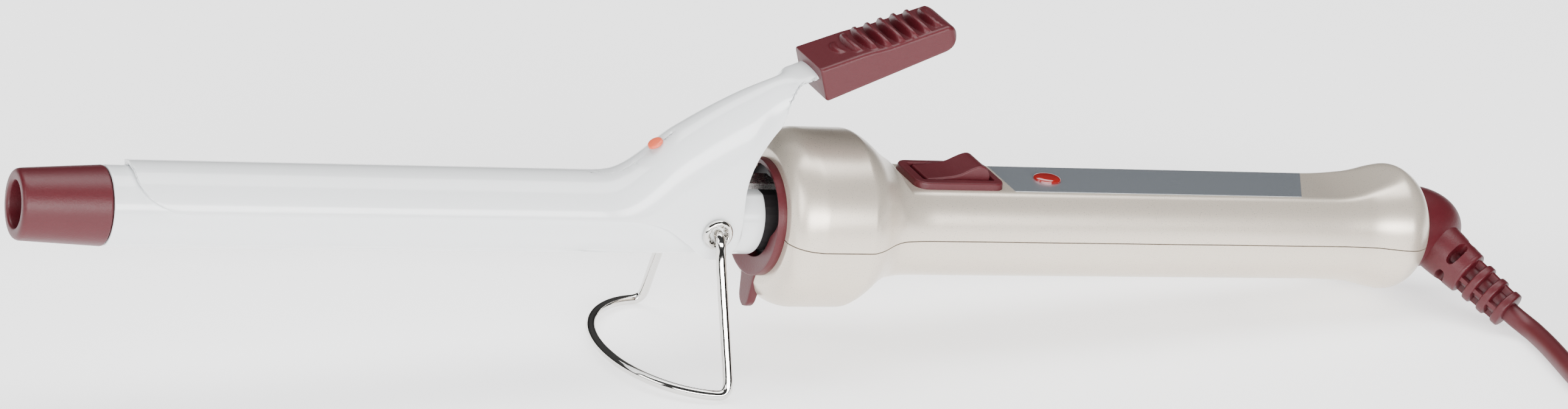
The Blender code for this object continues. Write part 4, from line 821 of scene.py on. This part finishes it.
# %% Upper and lower half
def case_half(upper, inward):
    """(x, r sin a, r cos a), pressed down to the flat above, dented at the screws below, `inward` thick."""
    angle = np.linspace(-math.pi / 2, math.pi / 2, 181)[None, :]
    x, r = case_profile[:, :1], case_profile[:, 1:] - inward
    r = np.maximum(r, DOME_R + 0.3) if inward else r
    y, z = r * np.sin(angle), r * np.cos(angle)
    if upper:
        sunk = well(x, y)
        ceiling = flat_height(x) - inward * 0.8 - 5.0 * sunk
        z = np.maximum(soft_min(z, ceiling, 0.9 * (1 - 0.9 * sunk)), 0)
    else:
        hole = 0
        for at in SCREWS_AT:
            hole = hole + 1 - ease(np.hypot(x - at, y), SCREW_HOLE_R - 0.2, SCREW_HOLE_R + 0.15)
        floor = SCREW_FLOOR - inward * 0.3
        z = z + hole * (np.minimum(z, floor) - z)
        z = -z
    return np.stack([x + 0 * y, y, z + (0.15 if upper else -0.15)], -1)


for name, upper, node in (
    ("casing_upper", True, "handle_shell_upper"),
    ("casing_lower", False, "handle_shell_lower"),
):
    shell = walled(name, case_half(upper, 0.0), case_half(upper, CASE_WALL), sharp=28)
    belongs(shell, champagne, "iron", "champagne_plastic", node)

# %% [markdown]
# ### Collar
# A burgundy collar rings the barrel where it enters the casing. Its lower part closes up to the barrel,
# and its top is open where the lever's spring sits. A tab hangs down from it. The opening is the collar's
# inner radius, written as a function of the angle.

# %% Collar ring and tab
RING_START, RING_END, RING_R = 14.5, 18.3, 14.8
collar_profile = soft_corners(
    [(RING_START + 0.7, 0.0), (RING_START, 1.0), (RING_END + 0.2, 1.0), (RING_END + 0.2, 0.0)],
    [0.1, 0.25, 0.2, 0.1],
    count=7,
    closed=True,
)
angle = np.linspace(0, 2 * math.pi, 192, endpoint=False)[None, :]
from_top = np.abs((angle + math.pi) % (2 * math.pi) - math.pi)
bore = 13.3 - 3.2 * ease(from_top, math.radians(72), math.radians(100))
reach = bore + (RING_R - bore) * np.clip(collar_profile[:, 1:], 0, 1)
collar_x = collar_profile[:, :1] + 0 * reach
collar_grid = np.stack([collar_x, reach * np.sin(angle), reach * np.cos(angle)], -1)
collar = ringed("collar_moulding", collar_grid, sharp=40)
belongs(collar, burgundy, "iron", "burgundy_plastic", "collar_ring")
tab_down = thick_ends(0.0, 10.4, 0.3, 2.6, 24)
narrow = end_round(tab_down, 0.0, 10.4, 0.01, 2.6)
tab_half = 4.1 - 0.14 * tab_down - narrow
tab = bar(tab_down, tab_half, 19.6 - 0.06 * tab_down, 16.5 + 0.05 * tab_down, 0.6, per_side=6)
tab = np.stack([tab[..., 2], tab[..., 1], -14.0 - tab[..., 0]], -1)
collar_tab = rounds("collar_tab", tab, sharp=50)
belongs(collar_tab, burgundy, "iron", "burgundy_plastic")

# %% [markdown]
# ### Plate and lamp
# A thin satin plate is glued into the flat, with one slanted end. It carries no lettering here.
# The lamp shines through a small red oval lens, set in a dark rim.

# %% Plate, lens and its rim
PLATE_FROM, PLATE_TO_NEAR, PLATE_TO_FAR, PLATE_HALF = 83.0, 169.5, 178.5, 7.9
PLATE_TOP = 11.40  # the casing's flat lies at 11.25
across = np.linspace(-PLATE_HALF, PLATE_HALF, 17)[None, :]
far_end = PLATE_TO_NEAR + (PLATE_TO_FAR - PLATE_TO_NEAR) * (across + PLATE_HALF) / (2 * PLATE_HALF)
plate_x = PLATE_FROM + (far_end - PLATE_FROM) * np.linspace(0, 1, 60)[:, None]
plate_top = np.stack([plate_x, across + 0 * plate_x, PLATE_TOP + 0 * plate_x], -1)
plate = walled("satin_label_plate", plate_top, plate_top - (0, 0, 0.35), sharp=30)
belongs(plate, plate_metal, "iron", "label_metal", "label_plate")
LAMP_X, LAMP_HALF_LONG, LAMP_HALF_WIDE = 96.4, 3.9, 3.1


def stacked_oval(name, levels, centre, half_long, half_wide):
    """Ellipses (long cos a, wide sin a) grown by each level's margin, at each level's height."""
    levels = soft_corners(levels, 0.35, count=7)
    angle = np.linspace(0, 2 * math.pi, 64, endpoint=False)[None, :]
    margin, z = levels[:, :1], levels[:, 1:]
    x = centre + (half_long + margin) * np.cos(angle)
    return rounds(name, np.stack([x, (half_wide + margin) * np.sin(angle), z + 0 * x], -1), sharp=45)


lens_levels = [(-0.1, 9.4), (-0.1, 11.9), (-0.9, 12.35), (-3.05, 12.5)]
lens = stacked_oval("red_lamp_lens", lens_levels, LAMP_X, LAMP_HALF_LONG, LAMP_HALF_WIDE)
belongs(lens, lens_red, "iron", "red_lens", "lamp_lens")
rim_levels = [(0.35, 10.9), (0.35, 11.34), (-3.0, 11.36)]
lens_rim = stacked_oval("lens_dark_rim", rim_levels, LAMP_X, LAMP_HALF_LONG, LAMP_HALF_WIDE)
belongs(lens_rim, black, "iron", "black_plastic")

# %% [markdown]
# ### Switch
# The switch is a frame pressed on the flat and a rocker in it. The rocker's top is one long dish that
# climbs to a ridge at the far end. In use it tips about a pin across its middle.


# %% Frame and rocker
def frame_ring(name, half_long, half_wide, corner, section, look_sharp=35):
    """A closed section (d, z) carried round a rectangle with round corners, d outwards."""
    centres, units = corner_section(14, 8)
    d, z = np.asarray(section, float).T[:, :, None]
    x = SWITCH_X + centres[:, 0] * (half_long - corner) + units[:, 0] * (corner + d)
    y = centres[:, 1] * (half_wide - corner) + units[:, 1] * (corner + d)
    return ringed(name, np.stack([x, y, z + 0 * x], -1), sharp=look_sharp)


bezel_section = soft_corners(
    [(0.0, 11.0), (-0.3, 12.95), (-2.55, 13.1), (-2.55, 7.0), (-3.0, 7.0), (-3.0, 10.9)],
    [0.15, 0.45, 0.35, 0.1, 0.1, 0.1],
    closed=True,
)
bezel = frame_ring("switch_frame", 12.8, 7.7, 3.2, bezel_section)
belongs(bezel, burgundy, "iron", "burgundy_plastic", "switch_bezel")
ROCKER_HALF, ROCKER_AXIS_Z = 8.9, 11.2
a = thick_ends(-ROCKER_HALF, ROCKER_HALF, 0.5, 1.1, 90)
top_line = soft_corners(
    [(-8.9, 1.7), (-6.0, 1.9), (0.0, 2.7), (3.4, 4.6), (5.8, 5.5), (7.7, 4.9), (8.9, 2.6)], 2.4, count=9
)
rocker_top = np.interp(a, *top_line.T) - end_round(a, -ROCKER_HALF, ROCKER_HALF, 0.5, 0.4)
rocker_low = -1.6 - 1.0 * (1 - (a / ROCKER_HALF) ** 2)
rocker_grid = bar(a, 4.7 - end_round(a, -ROCKER_HALF, ROCKER_HALF, 0.4, 0.4), rocker_top, rocker_low, 0.45)
rocker = rounds("rocker_key", rocker_grid + (SWITCH_X, 0, ROCKER_AXIS_Z), sharp=40)
belongs(rocker, burgundy, "rocker", "burgundy_plastic", "switch_rocker")

# %% [markdown]
# ## Eyelets, stand and spring
# A hollow rivet on each side is the clamp's pivot. Its inner edge was split and rolled back by the
# press, which leaves small petals. The stand is one length of bright wire: it plugs into both rivets,
# comes down as two legs and bows forward as a foot. The spring under the lever has six turns, and
# is squashed when the lever is pressed.


# %% Eyelets
def eyelet(side):
    """Turned about Y; the throat's radius is 2.2 + 0.45 |cos 4a|^0.5 mm, which makes the petals."""
    outline = [(8.5, 1.6), (8.5, 2.5), (11.6, 2.5), (11.6, 4.0)]
    outline += [(12.5, 3.85), (12.95, 3.1), (12.6, 2.4), (11.0, 1.7)]
    profile = soft_corners(outline, [0.1, 0.1, 0.1, 0.2, 0.5, 0.5, 0.4, 0.2], count=7, closed=True)
    grid = turn(profile, 96)
    angle = np.linspace(0, 2 * math.pi, 96, endpoint=False)[None, :]
    depth, r = profile[:, :1], profile[:, 1:]
    throat = (r < 3.2) & (depth > 10.5)
    petals = 1 + 0.16 * np.where(throat, np.sqrt(np.abs(np.cos(4 * angle))) - 0.6, 0)
    across, up = grid[..., 1] * petals, grid[..., 2] * petals
    return np.stack([across, side * grid[..., 0], up], -1)


for name, side, node in (("eyelet_near", -1, "pivot_eyelet_near"), ("eyelet_far", 1, "pivot_eyelet_far")):
    belongs(ringed(name, eyelet(side), sharp=50), chrome, "iron", "chrome", node)

# %% Stand
WIRE_R, LEG_Y, CORNER_X, HALF_WIDTH, DROP, REACH = 1.25, 13.9, 3.5, 28.0, 36.0, 23.0
bow = np.radians(np.linspace(12, 90, 12))
half_stand = [
    (0.0, 8.5, 0.0),
    (0.0, LEG_Y - 0.1, 0.2),
    (0.3, LEG_Y + 0.7, -4.0),
    (CORNER_X, HALF_WIDTH, -DROP - 0.05),
    *zip(CORNER_X - REACH * np.sin(bow), HALF_WIDTH * np.cos(bow), np.full(12, -DROP), strict=True),
]
half_stand = np.array(half_stand)
stand_line = np.concatenate([half_stand, half_stand[-2::-1] * (1, -1, 1)])
ease_off = np.concatenate([[0, 2.4, 1.8, 3.6], np.full(2 * len(half_stand) - 9, 3.0), [3.6, 1.8, 2.4, 0]])
stand_line = evened(soft_corners(stand_line, ease_off, count=12), 0.55)
stand_line = relaxed(stand_line, rounds_of=6, held=3)
outward = stand_line - (-8.0, 0.0, -18.0)
outward /= np.linalg.norm(outward, axis=1, keepdims=True)
stand = rounds("wire_stand", carried(stand_line, WIRE_R, 20, up=outward), sharp=60)
belongs(stand, chrome, "stand", "chrome", "stand_wire")

# %% Spring
SPRING_X, SPRING_R, SPRING_WIRE, SPRING_FOOT = 10.2, 2.3, 0.42, 10.9
turns = np.linspace(0, 2 * math.pi * 6.4, 330)
spring_top = float(ridge(SPRING_X)) - SHEET - 0.9
spring_z = SPRING_FOOT + (spring_top - SPRING_FOOT) * turns / turns[-1]
coil = np.stack([SPRING_X + SPRING_R * np.cos(turns), SPRING_R * np.sin(turns), spring_z], -1)
spring = rounds("lever_spring", carried(coil, SPRING_WIRE, 10), sharp=60)
belongs(spring, steel, "iron", "plain_steel", "clamp_spring")
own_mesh(spring)

# %% [markdown]
# ## Swivel and cord guard
# The cord turns freely: a dome sits in the casing's rim, and a guard leaves it at a slant. The guard is
# soft and slotted so that it bends gently. It is one surface about its own axis, whose radius
# depends on how far along and which way round a point is: rings stand up, slots fall to the core, and
# four ribs cross them.

# %% Dome
DOME_FRONT, DOME_LONG = 205.0, 17.5
dome_turn = np.radians(np.linspace(0, 88.5, 40))
dome_curve = np.stack([RIM_AT + DOME_LONG * np.sin(dome_turn), DOME_R * np.cos(dome_turn) ** 0.92], -1)
dome_inside = [(DOME_FRONT, 0.4), (DOME_FRONT, DOME_R - 0.3), (DOME_FRONT + 1.0, DOME_R)]
dome_profile = np.concatenate([dome_inside, dome_curve])
dome = rounds("swivel_dome_moulding", turn(dome_profile, 128), sharp=50)
belongs(dome, burgundy, "swivel", "burgundy_plastic", "swivel_dome")

# %% Guard
RING_RADII = (5.75, 5.5, 5.25)
RIB_ANGLES = np.radians([58.0, 148.0, 238.0, 328.0])
BODY_END, PITCH, RING_LONG, CORE_R = 19.6, 4.9, 2.6, 3.3
SLOT_AT, SLOT_HALF = 14.4, 1.25
to_camera = np.array(BACK) @ LEAN_MATRIX
face = to_camera - RELIEF_ALONG * (to_camera @ RELIEF_ALONG)
face /= np.linalg.norm(face)
beside = np.cross(RELIEF_ALONG, face)


def bead(s, start, end, radius):
    """Ring cross-section: core + (radius - core) (1 - u^6)^(1/3), u from -1 to 1 along it."""
    u = np.clip((s - (start + end) / 2) / ((end - start) / 2), -1, 1)
    return CORE_R + (radius - CORE_R) * (1 - u**6) ** (1 / 3)


def guard_radius(s, angle):
    """The highest of body, rings and ribs, with window slots sunk in the body's end."""
    nearest = np.abs((angle[..., None] - RIB_ANGLES + math.pi) % (2 * math.pi) - math.pi).min(-1)
    body_r = 7.0 - 0.75 * ease(s, 8, BODY_END)
    body_r = body_r - 1.0 * (1 - ease(s, 3.0, 5.6)) ** 2
    body = np.where(s < BODY_END - 1.4, body_r, bead(s, BODY_END - 3.2, BODY_END, 6.25))
    middle = 0.25 * math.pi
    slot_u = np.abs(s - SLOT_AT) / SLOT_HALF
    slot_v = (middle - nearest) / 0.56
    window = 1 - ease(slot_u**2 + np.clip(slot_v, 0, 9) ** 4, 0.75, 1.1)
    r = body + (CORE_R - body) * window
    for k, radius in enumerate(RING_RADII):
        end = RELIEF_END - (2 - k) * PITCH
        ring = bead(s, end - RING_LONG, end, radius)
        r = np.where(s < BODY_END, r, np.maximum(ring, 0 if k == 0 else r))
    rib_r = 5.35 - 0.35 * ease(s, 20, 34)
    rib = CORE_R + (rib_r - CORE_R) * (1 - ease(nearest * rib_r, 0.62, 0.95))
    return np.maximum(r, np.where((s > BODY_END - 0.4) & (s < RELIEF_END - 1.0), rib, 0))


s = np.concatenate([np.linspace(2.0, 12.0, 28), np.linspace(12.15, RELIEF_END, 170)])[:, None]
angle = np.linspace(0, 2 * math.pi, 180, endpoint=False)[None, :]
r = guard_radius(s + 0 * angle, angle + 0 * s)
guard_grid = np.array([RELIEF_FROM, 0, 0]) + RELIEF_ALONG * s[..., None]
guard_out = np.cos(angle)[..., None] * face - np.sin(angle)[..., None] * beside
guard_grid = guard_grid + r[..., None] * guard_out
guard = rounds("cord_guard", guard_grid, sharp=45)
belongs(guard, burgundy, "swivel", "cord_pvc", "strain_relief")

# %% [markdown]
# ## Cord, plug and tie
# The line worked out above gets its round section here. Near the guard it follows the swivel, further
# on it stays on the table. The plug is a flat two-pin body: the corner section again, from the
# cord's own ribbed sleeve to the broad front. A black band ties the coil.

# %% Cord
cord = rounds("mains_cord", carried(cord_line, CORD_R, 18), sharp=60, place=metres)
belongs(cord, cord_pvc, None, "cord_pvc", "cord_tube", "cord_coil", "cord_tail")
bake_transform(cord)

# %% Plug body
PLUG_AT = (265.5, -73.0, 24.6)
PLUG_LENGTH, PLUG_RELIEF, PLUG_HALF_WIDE, PLUG_HALF_HIGH = 35.3, 15.0, 12.9, 6.75
plug_front, plug_back = -0.3 - PLUG_RELIEF - PLUG_LENGTH, -0.3


def at_plug(points):
    """The plug is worked out about the cord's end, with its cord along +X."""
    return metres(np.asarray(points, float) + PLUG_AT)


packed_front = np.linspace(plug_front, plug_front + 2, 12)
x = np.unique(np.concatenate([packed_front, np.linspace(plug_front + 2, plug_back, 190)]))
neck_at = plug_front + PLUG_LENGTH
body_share = 1 - ease(x, plug_front + 20.0, neck_at + 2.0)
front_pull = end_round(x, plug_front, plug_back, 1.4, 0.6)
grooves = np.sin((x - neck_at) / PLUG_RELIEF * 2 * math.pi * 4) > 0.2
sleeve_r = 5.1 - 0.9 * ease(x, neck_at, plug_back) - 0.7 * grooves * ease(x, neck_at + 1, neck_at + 2)
plug_wide = sleeve_r + (PLUG_HALF_WIDE - sleeve_r) * body_share - front_pull
plug_high = sleeve_r + (PLUG_HALF_HIGH - sleeve_r) * body_share - front_pull
waist = 1.4 * np.exp(-(((x - plug_front - 15.0) / 6.5) ** 2))
corner_r = sleeve_r * (1 - body_share) + 4.6 * body_share
plug_grid = bar(x, plug_wide - waist, plug_high, -plug_high, corner_r, 10, 12)
plug = rounds("plug_moulding", plug_grid, sharp=40, place=at_plug)
belongs(plug, cord_pvc, "iron", "cord_pvc", "plug_body")

# %% Pins and tie
PIN_LONG, PIN_R, PIN_OUT = 19.0, 2.0, 9.5
pin_tip = plug_front - PIN_LONG
pin_profile = soft_corners(
    [(pin_tip, 0.05), (pin_tip, PIN_R), (plug_front - 0.5, PIN_R), (plug_front + 3.0, 0.05)],
    [0.1, 1.2, 0.2, 0.1],
    count=8,
)
for name, side in (("plug_pin_left", -1), ("plug_pin_right", 1)):
    made = rounds(name + "_turned", turn(pin_profile, 40) + (0, PIN_OUT * side, 0), sharp=40, place=at_plug)
    belongs(made, brass, "iron", "contact_brass", name)
TIE_HALF, BUNDLE_HALF, BUNDLE_CORNER = 3.0, 8.25 + 0.35, 2.8
centres, units = corner_section(8, 8)
band_corners = [(0.0, -1.0), (0.55, -1.0), (0.55, 1.0), (0.0, 1.0)]
band_section = soft_corners(band_corners, 0.18, count=4, closed=True)
grow, wide = band_section[:, :1], band_section[:, 1:] * TIE_HALF
to_centre, to_skin = centres * (BUNDLE_HALF - BUNDLE_CORNER), BUNDLE_CORNER + grow
round_y = COIL_AT[1] + COIL_MID_R + to_centre[:, 0] + units[:, 0] * to_skin
round_z = COIL_LOW + 2 * CORD_R + to_centre[:, 1] + units[:, 1] * to_skin
tie_grid = np.stack(np.broadcast_arrays(COIL_AT[0] + wide, round_y, round_z), -1)
tie = ringed("coil_tie_band", tie_grid, sharp=50, place=metres)
belongs(tie, tie_band, "iron", "tie_plastic", "coil_tie")

# %% [markdown]
# ## Table and light
# The iron lies on a plain pale table under soft studio light: one wide panel beside the camera for
# the long highlights along barrel and handle, one panel overhead, and a pale room all round.

# %% Table
table = finish("pale_table", (0.93, 0.93, 0.935), 0.75, 400, 0.0, 0.01, 0.01)
shader_of(table)["Emission Color"].default_value = (1.0, 1.0, 1.0, 1)
shader_of(table)["Emission Strength"].default_value = 1.1
TABLE_HALF, TABLE_DROP = 6.0, 0.0002
corners = [(TABLE_HALF * x, TABLE_HALF * y, -TABLE_DROP) for x, y in ((-1, -1), (1, -1), (1, 1), (-1, 1))]
floor_mesh = bpy.data.meshes.new("table_top")
floor_mesh.from_pydata(corners, [], [(0, 1, 2, 3)])
floor_mesh.materials.append(table)
floor = bpy.data.objects.new("table_top", floor_mesh)
bpy.context.scene.collection.objects.link(floor)

# %% Lights
world = bpy.data.worlds.new("pale_room")
world.use_nodes = True
sky = world.node_tree
direction = sky.nodes.new("ShaderNodeTexCoord")
height = sky.nodes.new("ShaderNodeSeparateXYZ")
shade = sky.nodes.new("ShaderNodeMapRange")
for name, value in (("From Min", 0.02), ("From Max", 0.42), ("To Min", 0.20), ("To Max", 1.60)):
    shade.inputs[name].default_value = value
sky.links.new(direction.outputs["Generated"], height.inputs["Vector"])
sky.links.new(height.outputs["Z"], shade.inputs["Value"])
sky.links.new(shade.outputs["Result"], sky.nodes["Background"].inputs["Strength"])
bpy.context.scene.world = world


def panel(name, at, towards, wide, high, watts):
    """A rectangular area light at a point, facing another one."""
    light = bpy.data.lights.new(name, "AREA")
    light.shape = "RECTANGLE"
    light.size, light.size_y, light.energy = wide, high, watts
    made = bpy.data.objects.new(name, light)
    bpy.context.scene.collection.objects.link(made)
    z = np.array(at, float) - np.array(towards, float)
    z /= np.linalg.norm(z)
    x = np.cross((0, 0, 1), z)
    x /= np.linalg.norm(x)
    y = np.cross(z, x)
    turned = Matrix(np.stack([x, y, z], 1).tolist()).to_4x4()
    made.matrix_world = Matrix.Translation(at) @ turned
    return made


panel("front_panel", (-0.25, -1.5, 0.60), (0, 0, 0.04), 2.4, 0.45, 60)
panel("top_panel", (0.1, 0.30, 1.5), (0, 0, 0), 2.0, 0.9, 36)
panel("tip_panel", (-1.6, -0.4, 0.7), (-0.1, 0, 0.03), 0.8, 0.8, 12)
print("three panels lit")
